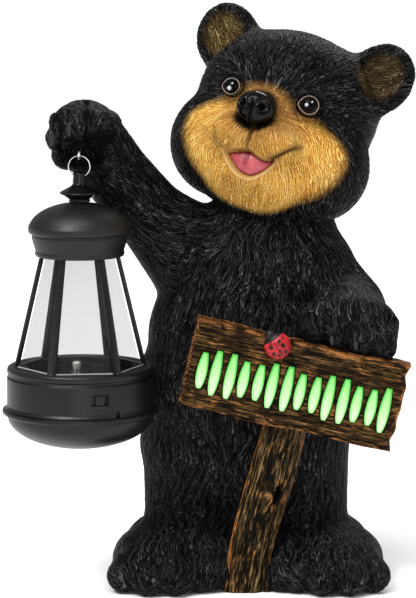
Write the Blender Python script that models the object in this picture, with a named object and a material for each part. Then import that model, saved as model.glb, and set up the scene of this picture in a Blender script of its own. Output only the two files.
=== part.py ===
"""Bear statue of cast resin with a hanging lantern and a plank sign.

Metres, +Z up, the bear faces -Y. The origin is on the ground, at the middle of
the whole statue's footprint box.
"""
import math

import bmesh
import bpy
from mathutils import Euler, Matrix, Vector

# Bear, a free form: every place on it is given for a bear 387 units tall.
BEAR_HEIGHT = 0.387
UNITS_TALL = 387
MASS_VOXEL = 0.0032
CARVED_VOXEL = 0.0021
BEAR_TRIANGLES = 4400

# Head, turned and tilted about its own middle.
HEAD_MIDDLE = (47.6, -4, 304)
HEAD_TURN = math.radians(-17)
HEAD_TILT = math.radians(14)
HEAD_LIFT = math.radians(-7)

# Fit between pieces that touch.
GAP = 0.0003

# Sign board, a plank leaning with its post.
SIGN_LEAN = math.radians(12.8)
SIGN_TIP = math.radians(3.5)
BOARD_LENGTH = 0.1420
BOARD_HEIGHT = 0.0590
BOARD_THICKNESS = 0.0140
GRIP_PLACE = (62.5, -80.8, 172.7)
NOTCH_DEPTH = 0.0024
STROKE_PAIRS = 7
STROKE_TALL = 0.0300
STROKE_WIDTH = 0.0068
STROKE_MARGIN = 0.0055
STROKE_DEPTH = 0.0016
STROKE_DROP = 0.0034
STROKE_PROUD = 0.0005

# Post under the board.
POST_WIDTH = 0.0245
POST_DEPTH = 0.0165
POST_SWELL = 0.0055
POST_TOP_OVERLAP = 0.0360
KNOT_RADIUS = 0.0042

# Beetle on the board's upper edge.
BEETLE_RADIUS = 0.0088
BEETLE_RISE = 0.0066

# Lantern: hanging wires.
WIRE_RADIUS = 0.0008
SPLIT_RING_RADIUS = 0.0070
EYE_RADIUS = 0.0034
EYE_SHANK = 0.0085
HANG_HEIGHT = 291.9
HANG_BEARING = math.radians(29.5)
HANG_CLEARANCE = 0.0069
LANTERN_TWIST = math.radians(6.5)

# Lantern: finial and cap.
KNOB_RADIUS = 0.0043
KNOB_HEIGHT = 0.0084
SAUCER_RADIUS = 0.0130
SAUCER_HEIGHT = 0.0112
NECK_RADIUS = 0.0066
CAP_RADIUS = 0.0336
DOME_HEIGHT = 0.0180
SKIRT_TOP_RADIUS = 0.0308
SKIRT_RADIUS = 0.0284
SKIRT_HEIGHT = 0.0170
WALL = 0.0020

# Lantern: glazing, a hexagon of bars and clear panes.
SIDES = 6
GLAZING_HEIGHT = 0.0755
BAR_TOP_WIDTH = 0.0036
BAR_FOOT_WIDTH = 0.0060
BAR_DEPTH = 0.0030
BAR_TUCK = 0.0040
BAR_SPREAD = 0.0437
PANE_THICKNESS = 0.0015

# Lantern: drum, bowl, switch and lamp.
DRUM_RADIUS = 0.0484
DRUM_HEIGHT = 0.0245
DRUM_STEP = 0.0012
DRUM_RECESS = 0.0090
LIP_RADIUS = 0.0515
LIP_THICKNESS = 0.0042
BOWL_RADIUS = 0.0482
BOWL_DEPTH = 0.0250
SWITCH_BEARING = math.radians(17.5)
SWITCH_WINDOW = (0.0116, 0.0072)
SWITCH_NUB = (0.0052, 0.0060)
SWITCH_DROP = 0.0125
LAMP_RADIUS = 0.0039
LAMP_HEIGHT = 0.0105
CARRIER_SIZE = (0.0300, 0.0060, 0.0080)

LATHE_SEGMENTS = 22


def bear_scale():
    return BEAR_HEIGHT / UNITS_TALL


def at(x, y, z):
    """A place on the bear, from units to metres."""
    return Vector((x, y, z)) * bear_scale()


# Materials and objects

def material(name, colour, roughness, metallic=0.0, alpha=1.0):
    made = bpy.data.materials.new(name)
    made.use_nodes = True
    shader = made.node_tree.nodes["Principled BSDF"]
    shader.inputs["Base Color"].default_value = (*colour, 1.0)
    shader.inputs["Roughness"].default_value = roughness
    shader.inputs["Metallic"].default_value = metallic
    shader.inputs["Alpha"].default_value = alpha
    return made


def add_object(name, mesh, finish, parent, helper=False):
    made = bpy.data.objects.new(name, mesh)
    bpy.context.scene.collection.objects.link(made)
    made.parent = parent
    if finish is not None:
        mesh.materials.append(finish)
    if helper:
        made.hide_render = True
        made.display_type = "WIRE"
    return made


def mesh_from(bm, name, smooth_angle=math.radians(35)):
    bmesh.ops.remove_doubles(bm, verts=bm.verts, dist=1e-6)
    bmesh.ops.recalc_face_normals(bm, faces=bm.faces)
    mesh = bpy.data.meshes.new(name)
    bm.to_mesh(mesh)
    bm.free()
    mesh.shade_smooth()
    mesh.set_sharp_from_angle(angle=smooth_angle)
    return mesh


def evaluated_mesh(obj):
    """The object's mesh with its modifiers applied."""
    bpy.context.view_layer.update()
    graph = bpy.context.evaluated_depsgraph_get()
    return bpy.data.meshes.new_from_object(obj.evaluated_get(graph))


def cut(obj, cutter, name):
    modifier = obj.modifiers.new(name, "BOOLEAN")
    modifier.operation = "DIFFERENCE"
    modifier.object = cutter
    return modifier


# Shapes

def ball(bm, centre, radii, frame=None, turn=(0, 0, 0)):
    """An ellipsoid on the bear, in units, turned about its centre."""
    scale = bear_scale()
    place = (
        Matrix.Translation(Vector(centre) * scale)
        @ Euler(turn).to_matrix().to_4x4()
        @ Matrix.Diagonal((*(r * scale for r in radii), 1))
    )
    if frame is not None:
        place = frame @ place
    bmesh.ops.create_icosphere(bm, subdivisions=3, radius=1.0, matrix=place)


def limb(bm, joints, steps=7, frame=None):
    """A run of balls through the joints, each (x, y, z, radius)."""
    for start, end in zip(joints, joints[1:]):
        for step in range(steps + 1):
            share = step / steps
            x, y, z, radius = (a + (b - a) * share for a, b in zip(start, end))
            ball(bm, (x, y, z), (radius,) * 3, frame)


def turned(name, profile, segments=LATHE_SEGMENTS):
    """A mesh turned about Z from a closed profile of (radius, height)."""
    bm = bmesh.new()
    points = [bm.verts.new((radius, 0, height)) for radius, height in profile]
    edges = [bm.edges.new(pair) for pair in zip(points, points[1:])]
    if profile[0][0] > 0 or profile[-1][0] > 0:
        edges.append(bm.edges.new((points[-1], points[0])))
    bmesh.ops.spin(
        bm,
        geom=points + edges,
        cent=(0, 0, 0),
        axis=(0, 0, 1),
        dvec=(0, 0, 0),
        angle=math.tau,
        steps=segments,
        use_merge=True,
    )
    return mesh_from(bm, name)


def box(bm, low, high):
    low, high = Vector(low), Vector(high)
    size = high - low
    place = Matrix.Translation((low + high) / 2) @ Matrix.Diagonal((*size, 1))
    return bmesh.ops.create_cube(bm, size=1.0, matrix=place)["verts"]


def arc(centre, radii, start, end, steps):
    """Points on an ellipse's arc, from one angle to another, in degrees."""
    points = []
    for step in range(steps + 1):
        angle = math.radians(start + (end - start) * step / steps)
        points.append(
            (centre[0] + radii[0] * math.cos(angle), centre[1] + radii[1] * math.sin(angle))
        )
    return points


# Bear

def head_frame():
    place = Matrix.Translation(at(*HEAD_MIDDLE))
    tilt = Matrix.Rotation(HEAD_TILT, 4, "Y")
    turn = Matrix.Rotation(HEAD_TURN, 4, "Z")
    lift = Matrix.Rotation(HEAD_LIFT, 4, "X")
    return place @ tilt @ turn @ lift


def belly_middle():
    return at(26, 2, 0)


def hang_point():
    """Middle of the screw eye's loop: the lantern hangs clear of the belly."""
    belly_reach = 67.5 * bear_scale()
    reach = belly_reach + LIP_RADIUS + HANG_CLEARANCE
    aside = Vector((-math.cos(HANG_BEARING), -math.sin(HANG_BEARING), 0))
    return belly_middle() + aside * reach + at(0, 0, HANG_HEIGHT)


def body_mass(bm):
    """The large forms, which are smoothed into each other."""
    ball(bm, (25, 3, 90), (73, 54, 58))
    ball(bm, (26, 1, 128), (76, 58, 62))
    ball(bm, (31, 1, 165), (73, 57, 60))
    ball(bm, (37, 2, 200), (66, 52, 56))
    ball(bm, (41, 2, 232), (47, 43, 40))
    for side in (-1, 1):
        hip = 26 + side * 38
        limb(bm, [(hip, 4, 78, 33), (hip, 2, 30, 32)])
        foot = 27 + side * 58
        ball(bm, (foot, -22, 14), (35, 50, 25))
        ball(bm, (foot - side * 4, 18, 14), (32, 31, 25))


def raised_arm(bm, paw):
    """The arm goes up behind the lantern's cap, to a paw over the lantern."""
    elbow = (-37, -12, 245, 25)
    wrist = (paw.x + 23, paw.y + 35, 275, 23.5)
    limb(bm, [(4, 2, 205, 39), elbow, wrist, (paw.x + 8, paw.y + 19, 299, 23)])
    ball(bm, (paw.x + 1, paw.y + 8, 306), (26, 24, 21))


def resting_arm(bm):
    limb(bm, [(62, 2, 207, 34), (91, -13, 181, 30), (95, -44, 178, 25)])
    ball(bm, (95, -58, 182), (30, 22, 18))


def head_mass(bm, frame):
    ball(bm, (0, 7, 16), (63, 56, 52), frame)
    ball(bm, (0, -14, -34), (47, 39, 31), frame)
    for side in (-1, 1):
        ball(bm, (side * 21, 6, 32), (34, 35, 32), frame)
        ball(bm, (side * 31.5, -5, -19), (38, 43, 38.5), frame)
        ball(bm, (side * 55, 13, 50), (24, 12, 27), frame, (0, side * math.radians(20), 0))
    ball(bm, (0, -40, -14), (34, 25, 23), frame)


def face_forms(bm, frame):
    """Forms that keep their edges: lips, nose and eyes."""
    ball(bm, (0, -44, 6), (15, 24, 12), frame)
    ball(bm, (0, -64, 6.5), (13, 10.5, 11.5), frame)
    ball(bm, (0, -48, -39), (20, 13, 7), frame)
    for side in (-1, 1):
        ball(bm, (side * 12.5, -55, -13), (17, 13, 12), frame)
        ball(bm, (side * 26, -45, 17.5), (9, 6.5, 10), frame)


def toes(bm):
    for side in (-1, 1):
        foot = 27 + side * 58
        for k, (spread, reach) in enumerate(((-26, -60), (-9.5, -69), (8.5, -69), (25, -60))):
            inner = spread * -side
            limb(bm, [(foot - inner * 0.7, -44, 18, 13), (foot - inner, reach, 11.5, 12)], 3)


def raised_fingers(bm, paw):
    """Four fingers curling over the front of the raised paw."""
    places = ((-18, 4, 303, 293), (-9, 14, 312, 300), (4, 18, 314, 303), (18, 13, 311, 305))
    for aside, ahead, knuckle, tip in places:
        x = paw.x + aside
        y = paw.y - ahead
        limb(bm, [(x, y + 4, knuckle, 11), (x, y - 3, tip + 7, 9)], 3)


def resting_fingers(bm):
    """Four fingers lying over the board's upper edge."""
    for k in range(4):
        x = 69 + k * 15.5
        fall = k * 3.0
        limb(bm, [(x, -62, 186 - fall * 0.7, 10.5), (x - 1, -76, 178 - fall, 9)], 3)


def mouth_line(frame):
    """A thin curved channel along the smile, and the open mouth at its middle."""
    bm = bmesh.new()
    half_width = 33
    steps = 22
    for step in range(steps + 1):
        share = 2 * step / steps - 1
        x = half_width * share
        height = -33 + 23 * abs(share) ** 1.5
        depth = -61 + 18 * share * share
        ball(bm, (x, depth, height), (2.4, 6, 1.8), frame)
    ball(bm, (0, -63, -28), (15, 13, 8), frame)
    return bm


def ear_cups(bm, frame):
    for side in (-1, 1):
        turn = (0, side * math.radians(20), 0)
        ball(bm, (side * 56.5, 1, 51), (17, 8, 20), frame, turn)


def palm_hollow(bm, paw):
    """Room under the raised paw for the loop of the screw eye."""
    ball(bm, (paw.x + 3, paw.y, 291), (15, 13, 8))


def remeshed(name, bm, voxel, rounds):
    """The balls in bm as one skin, with its creases relaxed."""
    obj = add_object(name, mesh_from(bm, name), None, None, helper=True)
    skin = obj.modifiers.new("skin", "REMESH")
    skin.mode = "VOXEL"
    skin.voxel_size = voxel
    relax = obj.modifiers.new("relax", "SMOOTH")
    relax.factor = 0.5
    relax.iterations = rounds
    mesh = evaluated_mesh(obj)
    bpy.data.objects.remove(obj)
    return mesh


def carved_mesh(mesh, cutters):
    """The mesh with each cutter taken out of it."""
    obj = add_object("carving", mesh, None, None, helper=True)
    helpers = []
    for k, bm in enumerate(cutters):
        name = f"chisel_{k}"
        chisel = remeshed(name, bm, CARVED_VOXEL / 2, 1)
        helpers.append(add_object(name, chisel, None, None, helper=True))
        cut(obj, helpers[-1], name)
    mesh = evaluated_mesh(obj)
    for helper in [obj, *helpers]:
        bpy.data.objects.remove(helper)
    return mesh


def thinned(mesh, triangles):
    """The mesh with about that many triangles."""
    obj = add_object("thinning", mesh, None, None, helper=True)
    thin = obj.modifiers.new("thin", "DECIMATE")
    thin.ratio = triangles / sum(len(face.vertices) - 2 for face in mesh.polygons)
    lighter = evaluated_mesh(obj)
    bpy.data.objects.remove(obj)
    return lighter


def flat_soled(mesh):
    """The mesh cut level with the ground."""
    bm = bmesh.new()
    bm.from_mesh(mesh)
    everything = list(bm.verts) + list(bm.edges) + list(bm.faces)
    found = bmesh.ops.bisect_plane(
        bm, geom=everything, plane_co=(0, 0, 0), plane_no=(0, 0, 1), clear_inner=True
    )
    rim = [item for item in found["geom_cut"] if isinstance(item, bmesh.types.BMEdge)]
    bmesh.ops.holes_fill(bm, edges=rim, sides=0)
    bmesh.ops.triangulate(bm, faces=[face for face in bm.faces if len(face.verts) > 4])
    bm.to_mesh(mesh)
    bm.free()
    return mesh


def bear(finish, parent):
    frame = head_frame()
    paw = hang_point() / bear_scale()
    bm = bmesh.new()
    body_mass(bm)
    raised_arm(bm, paw)
    resting_arm(bm)
    head_mass(bm, frame)
    mass = remeshed("mass", bm, MASS_VOXEL, 12)

    bm = bmesh.new()
    bm.from_mesh(mass)
    face_forms(bm, frame)
    toes(bm)
    raised_fingers(bm, paw)
    resting_fingers(bm)
    formed = remeshed("formed", bm, CARVED_VOXEL, 5)

    cups = bmesh.new()
    ear_cups(cups, frame)
    palm_hollow(cups, paw)
    formed = carved_mesh(formed, [cups, mouth_line(frame)])

    bm = bmesh.new()
    bm.from_mesh(formed)
    ball(bm, (0, -51, -32), (13, 9, 6), frame)
    cast = remeshed("cast", bm, CARVED_VOXEL, 2)
    return add_object("bear", flat_soled(thinned(cast, BEAR_TRIANGLES)), finish, parent)


# Sign

def sign_frame():
    """The board's middle: its upper edge is where the resting paw grips it."""
    lean = Matrix.Rotation(SIGN_TIP, 4, "X") @ Matrix.Rotation(SIGN_LEAN, 4, "Y")
    hanging_from_grip = Matrix.Translation((0, 0, -BOARD_HEIGHT / 2))
    return Matrix.Translation(at(*GRIP_PLACE)) @ lean @ hanging_from_grip


def board_outline(grow=0.0):
    """The plank's worn outline, seen from the front, anticlockwise."""
    long_half = BOARD_LENGTH / 2
    tall_half = BOARD_HEIGHT / 2
    points = []
    steps = 16
    for step in range(steps):
        share = step / steps
        wave = NOTCH_DEPTH * 0.3 * math.sin(share * 13)
        points.append((-long_half + BOARD_LENGTH * share, -tall_half - grow + wave))
    steps = 8
    for step in range(steps):
        share = step / steps
        wave = NOTCH_DEPTH * (step % 2) * (0.5 + 0.5 * math.sin(share * 9))
        points.append((long_half + grow - wave, -tall_half + BOARD_HEIGHT * share))
    steps = 16
    for step in range(steps):
        share = step / steps
        dip = NOTCH_DEPTH * (1 - abs(2 * share - 0.9)) * 0.8
        wave = NOTCH_DEPTH * 0.25 * math.sin(share * 17)
        points.append((long_half - BOARD_LENGTH * share, tall_half + grow - max(dip, 0) + wave))
    steps = 8
    for step in range(steps):
        share = step / steps
        wave = NOTCH_DEPTH * (step % 2) * (0.3 + 0.3 * math.cos(share * 7))
        points.append((-long_half - grow + wave, tall_half - BOARD_HEIGHT * share))
    return points


def prism(bm, outline, front, back):
    """An upright outline in X and Z, carried from one depth to another."""
    face = bm.faces.new([bm.verts.new((x, front, z)) for x, z in outline])
    moved = bmesh.ops.extrude_face_region(bm, geom=[face])
    far = [item for item in moved["geom"] if isinstance(item, bmesh.types.BMVert)]
    bmesh.ops.translate(bm, verts=far, vec=(0, back - front, 0))


def stroke_outline(tall, width):
    """A blade: a rounded foot, swelling below its middle, to a blunt tip."""
    steps = 5
    half = []
    for step in range(steps + 1):
        share = step / steps
        swell = math.sin(math.pi * (0.08 + 0.80 * share ** 0.85)) ** 0.7
        half.append((width / 2 * swell, tall * (share - 0.5)))
    return half + [(-x, z) for x, z in reversed(half)]


def stroke_places():
    """Middle, height and lean of each stroke: leaning pairs of blades along the board."""
    run = BOARD_LENGTH - 2 * STROKE_MARGIN
    pitch = run / STROKE_PAIRS
    pair_step = STROKE_WIDTH * 1.30
    places = []
    for pair in range(STROKE_PAIRS):
        middle = -run / 2 + pitch * (pair + 0.5)
        for member in (-1, 1):
            tall = STROKE_TALL * (1.0 if (pair + (member > 0)) % 2 else 0.8)
            places.append((middle + member * pair_step / 2, tall))
    return places


def stroke_bm(place, grow, front, back, bm=None):
    middle, tall = place
    bm = bm or bmesh.new()
    outline = stroke_outline(tall + 2 * grow, STROKE_WIDTH + 2 * grow)
    prism(bm, [(middle + x, z - STROKE_DROP) for x, z in outline], front, back)
    return bm


def sign(wood, glow, parent):
    frame = sign_frame()
    half = BOARD_THICKNESS / 2
    bm = bmesh.new()
    prism(bm, board_outline(), -half, half)
    bmesh.ops.recalc_face_normals(bm, faces=bm.faces)
    rim = [edge for edge in bm.edges if len(edge.link_faces) == 2 and edge.calc_face_angle() > 1.2]
    bmesh.ops.bevel(bm, geom=rim, offset=0.0009, segments=1, affect="EDGES", profile=0.5)
    board = add_object("sign_board", mesh_from(bm, "sign_board"), wood, parent)
    board.matrix_local = frame

    pockets = bmesh.new()
    for place in stroke_places():
        stroke_bm(place, GAP, -half - 0.004, -half + STROKE_DEPTH + GAP, pockets)
    cutter = add_object("stroke_pockets", mesh_from(pockets, "stroke_pockets"), None, parent, True)
    cutter.matrix_local = frame
    cut(board, cutter, "pockets")

    for k, place in enumerate(stroke_places()):
        bm = stroke_bm(place, 0, -half - STROKE_PROUD, -half + STROKE_DEPTH)
        name = f"sign_stroke_{k + 1:02d}"
        stroke = add_object(name, mesh_from(bm, name), glow, parent)
        stroke.matrix_local = frame
    return board


def post_rings(grow=0.0):
    """The post's rings, from its top behind the board to its foot."""
    top = -BOARD_HEIGHT / 2 + POST_TOP_OVERLAP
    foot_height = -sign_frame().translation.z / math.cos(SIGN_LEAN) - POST_DEPTH
    back = BOARD_THICKNESS / 2 + GAP
    count = 9
    sides = 14
    rings = []
    for k in range(count):
        share = k / (count - 1)
        height = top + (foot_height - top) * share
        half_width = (POST_WIDTH + POST_SWELL * math.sin(math.pi * share)) / 2 + grow
        half_depth = POST_DEPTH / 2 + grow
        sway = 0.0011 * math.sin(share * 7.0)
        ring = []
        for side in range(sides):
            angle = math.tau * side / sides
            bark = 1 + 0.05 * math.sin(3 * angle + share * 5) + 0.03 * math.cos(5 * angle)
            x = half_width * bark * math.copysign(abs(math.cos(angle)) ** 0.6, math.cos(angle))
            y = half_depth * math.copysign(abs(math.sin(angle)) ** 0.7, math.sin(angle))
            ring.append((x + sway, back + POST_DEPTH / 2 + y, height))
        rings.append(ring)
    return rings


def post_bm(grow=0.0):
    bm = bmesh.new()
    rings = [[bm.verts.new(point) for point in ring] for ring in post_rings(grow)]
    loops = []
    for ring in rings:
        loops.append([bm.edges.new(pair) for pair in zip(ring, ring[1:] + ring[:1])])
    for upper, lower in zip(loops, loops[1:]):
        bmesh.ops.bridge_loops(bm, edges=upper + lower)
    bm.faces.new(rings[0])
    bm.faces.new(rings[-1])
    return bm


def post(wood, parent):
    obj = add_object("sign_post", mesh_from(post_bm(), "sign_post"), wood, parent)
    obj.matrix_local = sign_frame()

    bm = bmesh.new()
    knot = Vector((POST_WIDTH * 0.33, BOARD_THICKNESS / 2 + GAP, -BOARD_HEIGHT * 1.32))
    shape = Matrix.Translation(knot) @ Matrix.Diagonal((0.8, 0.9, 1.9, 1))
    bmesh.ops.create_icosphere(bm, subdivisions=2, radius=KNOT_RADIUS, matrix=shape)
    hollow = add_object("knot_hollow", mesh_from(bm, "knot_hollow"), None, parent, True)
    hollow.matrix_local = sign_frame()
    cut(obj, hollow, "knot")

    bm = bmesh.new()
    reach = BEAR_HEIGHT
    box(bm, (-reach, -reach, -reach), (reach, reach, 0))
    ground = add_object("ground", mesh_from(bm, "ground"), None, parent, True)
    cut(obj, ground, "level_foot")
    return obj


def beetle(finish, parent):
    """A domed beetle with its back to the viewer, its head up and to the left."""
    bm = bmesh.new()
    shell = Matrix.Diagonal((BEETLE_RADIUS, BEETLE_RISE, BEETLE_RADIUS, 1))
    bmesh.ops.create_uvsphere(bm, u_segments=14, v_segments=9, radius=1.0, matrix=shell)
    head = (-BEETLE_RADIUS * 0.70, 0, BEETLE_RADIUS * 0.66)
    place = Matrix.Translation(head) @ Matrix.Diagonal((0.5, 0.45, 0.5, 1))
    head_bm = bmesh.new()
    bmesh.ops.create_icosphere(head_bm, subdivisions=2, radius=BEETLE_RADIUS, matrix=place)
    for part, back in ((bm, 0), (head_bm, -GAP)):
        everything = list(part.verts) + list(part.edges) + list(part.faces)
        found = bmesh.ops.bisect_plane(
            part, geom=everything, plane_co=(0, back, 0), plane_no=(0, 1, 0), clear_outer=True
        )
        rim = [item for item in found["geom_cut"] if isinstance(item, bmesh.types.BMEdge)]
        bmesh.ops.holes_fill(part, edges=rim, sides=0)
    obj = add_object("beetle", mesh_from(bm, "beetle"), finish, parent)
    height = BOARD_HEIGHT / 2 - BEETLE_RADIUS * 0.7
    seat = Matrix.Translation((-BOARD_LENGTH * 0.118, -BOARD_THICKNESS / 2 - GAP, height))
    other = add_object("beetle_head", mesh_from(head_bm, "beetle_head"), None, parent, True)
    for piece in (obj, other):
        piece.matrix_local = sign_frame() @ seat
    join = obj.modifiers.new("head", "BOOLEAN")
    join.operation = "UNION"
    join.object = other
    return obj


def seat_in_bear(statue, parent):
    """Clears the bear's casting round the board, the post and the screw eye."""
    bm = bmesh.new()
    half = BOARD_THICKNESS / 2 + GAP * 2
    prism(bm, board_outline(GAP * 2), -half, half)
    board = add_object("board_clearance", mesh_from(bm, "board_clearance"), None, parent, True)
    board.matrix_local = sign_frame()
    post_room = mesh_from(post_bm(GAP * 2), "post_clearance")
    stem = add_object("post_clearance", post_room, None, parent, True)
    stem.matrix_local = sign_frame()
    bm = bmesh.new()
    length = EYE_SHANK + 0.004
    place = Matrix.Translation((0, 0, length / 2))
    bmesh.ops.create_cone(
        bm,
        cap_ends=True,
        segments=10,
        radius1=WIRE_RADIUS * 1.5 + GAP,
        radius2=WIRE_RADIUS * 1.5 + GAP,
        depth=length,
        matrix=place,
    )
    bore = add_object("eye_clearance", mesh_from(bm, "eye_clearance"), None, parent, True)
    bore.location = hang_point()
    for tool in (board, stem, bore):
        cut(statue, tool, tool.name)


# Lantern

def ring_middle():
    """The split ring hangs with its wire on the loop's lowest point."""
    drop = EYE_RADIUS - 2 * WIRE_RADIUS - GAP + SPLIT_RING_RADIUS
    return -drop


def knob_top():
    """The finial hangs on the ring, which passes through the knob."""
    bore_middle = ring_middle() - SPLIT_RING_RADIUS + 0.0007
    return bore_middle + 0.0029


def wire_loop(name, radius, wire, finish, parent, place):
    """A closed ring of wire about Y."""
    bm = bmesh.new()
    sides = 6
    circle = []
    for k in range(sides):
        angle = math.tau * k / sides
        circle.append(bm.verts.new((radius + wire * math.cos(angle), wire * math.sin(angle), 0)))
    edges = [bm.edges.new(pair) for pair in zip(circle, circle[1:] + circle[:1])]
    bmesh.ops.spin(
        bm,
        geom=circle + edges,
        cent=(0, 0, 0),
        axis=(0, 1, 0),
        dvec=(0, 0, 0),
        angle=math.tau,
        steps=18,
        use_merge=True,
    )
    obj = add_object(name, mesh_from(bm, name), finish, parent)
    obj.matrix_local = place
    return obj


def screw_eye(steel, lantern):
    quarter_turn = Matrix.Rotation(math.pi / 2, 4, "Z")
    eye = wire_loop("screw_eye", EYE_RADIUS, WIRE_RADIUS, steel, lantern, quarter_turn)
    bm = bmesh.new()
    low, high = EYE_RADIUS - WIRE_RADIUS / 2, EYE_RADIUS + EYE_SHANK - WIRE_RADIUS
    bmesh.ops.create_cone(
        bm,
        cap_ends=True,
        segments=8,
        radius1=WIRE_RADIUS * 1.5,
        radius2=WIRE_RADIUS,
        depth=high - low,
        matrix=Matrix.Translation((0, 0, (low + high) / 2)),
    )
    shank = add_object("eye_shank", mesh_from(bm, "eye_shank"), None, lantern, True)
    join = eye.modifiers.new("shank", "BOOLEAN")
    join.operation = "UNION"
    join.object = shank
    return eye


def finial(black, lantern):
    top = knob_top()
    saucer = top - KNOB_HEIGHT
    low = saucer - SAUCER_HEIGHT
    rim = saucer - SAUCER_HEIGHT * 0.45
    profile = [
        (0, top),
        (KNOB_RADIUS * 0.8, top),
        (KNOB_RADIUS, top - KNOB_RADIUS * 0.2),
        (KNOB_RADIUS, saucer),
        (KNOB_RADIUS * 1.4, saucer - SAUCER_HEIGHT * 0.12),
        (SAUCER_RADIUS * 0.93, rim + SAUCER_HEIGHT * 0.06),
        (SAUCER_RADIUS, rim - SAUCER_HEIGHT * 0.03),
        (SAUCER_RADIUS * 0.91, rim - SAUCER_HEIGHT * 0.12),
        (NECK_RADIUS * 0.98, low + SAUCER_HEIGHT * 0.10),
        (NECK_RADIUS * 1.1, low),
        (0, low),
    ]
    obj = add_object("lantern_finial", turned("lantern_finial", profile, 16), black, lantern)
    bm = bmesh.new()
    along_x = Matrix.Rotation(math.pi / 2, 4, "Y")
    height = ring_middle() - SPLIT_RING_RADIUS + 0.0007
    bmesh.ops.create_cone(
        bm,
        cap_ends=True,
        segments=12,
        radius1=WIRE_RADIUS + 0.0012,
        radius2=WIRE_RADIUS + 0.0012,
        depth=KNOB_RADIUS * 4,
        matrix=Matrix.Translation((0, 0, height)) @ along_x,
    )
    bore = add_object("ring_bore", mesh_from(bm, "ring_bore"), None, lantern, True)
    cut(obj, bore, "ring_bore")
    return low


def cap(black, lantern, top):
    """The domed cap: a thin shell with a rolled rim and a skirt."""
    rim = top - DOME_HEIGHT
    skirt = rim - SKIRT_HEIGHT
    lip = SKIRT_HEIGHT * 0.16
    outside = arc((0, rim), (CAP_RADIUS, DOME_HEIGHT), 90, 4, 6)
    profile = outside + [
        (CAP_RADIUS * 0.985, rim - lip * 0.4),
        (SKIRT_TOP_RADIUS, rim - lip),
        (SKIRT_TOP_RADIUS * 0.97, rim - SKIRT_HEIGHT * 0.42),
        (SKIRT_RADIUS, rim - SKIRT_HEIGHT * 0.66),
        (SKIRT_RADIUS * 1.02, skirt + SKIRT_HEIGHT * 0.16),
        (SKIRT_RADIUS, skirt),
        (SKIRT_RADIUS - WALL, skirt),
        (SKIRT_RADIUS - WALL, rim - SKIRT_HEIGHT * 0.3),
    ]
    profile += arc((0, rim), (CAP_RADIUS - WALL * 1.6, DOME_HEIGHT - WALL), 10, 90, 4)
    profile[0] = (0, top)
    profile[-1] = (0, top - WALL)
    add_object("lantern_cap", turned("lantern_cap", profile), black, lantern)
    return skirt


def glazing_frame(k):
    """Turns the first corner, at the viewer's right, to corner k."""
    return Matrix.Rotation(math.tau * k / SIDES + LANTERN_TWIST, 4, "Z")


def corner_radii():
    """Outer radius of the bars at their upper and lower ends, clear of the skirt."""
    at_skirt = SKIRT_RADIUS - WALL - GAP
    lean = (BAR_SPREAD - at_skirt) / GLAZING_HEIGHT
    return at_skirt - lean * BAR_TUCK, BAR_SPREAD


def bars(black, lantern, skirt, drum_top):
    high, low = skirt + BAR_TUCK, drum_top + GAP
    upper, lower = corner_radii()
    for k in range(SIDES):
        bm = bmesh.new()
        corners = box(bm, (0, -1, 0), (1, 1, 1))
        for vert in corners:
            at_top = vert.co.z > 0.5
            width = BAR_TOP_WIDTH if at_top else BAR_FOOT_WIDTH
            radius = upper if at_top else lower
            inward = vert.co.x < 0.5
            across = width / 2 * (0.8 if inward else 1.0)
            vert.co = (
                radius - (BAR_DEPTH if inward else 0),
                across * vert.co.y,
                high if at_top else low,
            )
        upright = [edge for edge in bm.edges if abs(edge.verts[0].co.z - edge.verts[1].co.z) > 0.01]
        bmesh.ops.bevel(bm, geom=upright, offset=0.0005, segments=1, affect="EDGES", profile=0.5)
        name = f"lantern_bar_{k + 1}"
        bar = add_object(name, mesh_from(bm, name), black, lantern)
        bar.matrix_local = glazing_frame(k)


def panes(clear, lantern, skirt, drum_top):
    """One flat pane for each side, its edges behind the bars."""
    high, low = skirt + BAR_TUCK, drum_top + GAP
    half_side = math.pi / SIDES
    for k in range(SIDES):
        bm = bmesh.new()
        corners = box(bm, (0, -1, 0), (1, 1, 1))
        for vert in corners:
            at_top = vert.co.z > 0.5
            corner = corner_radii()[0 if at_top else 1] - BAR_DEPTH - GAP * 2
            flat = corner * math.cos(half_side)
            inset = 0 if vert.co.x > 0.5 else PANE_THICKNESS
            across = (flat - inset) * math.tan(half_side) - GAP
            vert.co = (flat - inset, across * vert.co.y, high if at_top else low)
        name = f"lantern_pane_{k + 1}"
        pane = add_object(name, mesh_from(bm, name), clear, lantern)
        pane.matrix_local = glazing_frame(k) @ Matrix.Rotation(half_side, 4, "Z")


def recess_radius():
    """The drum is open inside the panes' foot."""
    corner = corner_radii()[1] - BAR_DEPTH
    return corner * math.cos(math.pi / SIDES) - PANE_THICKNESS - WALL


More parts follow.
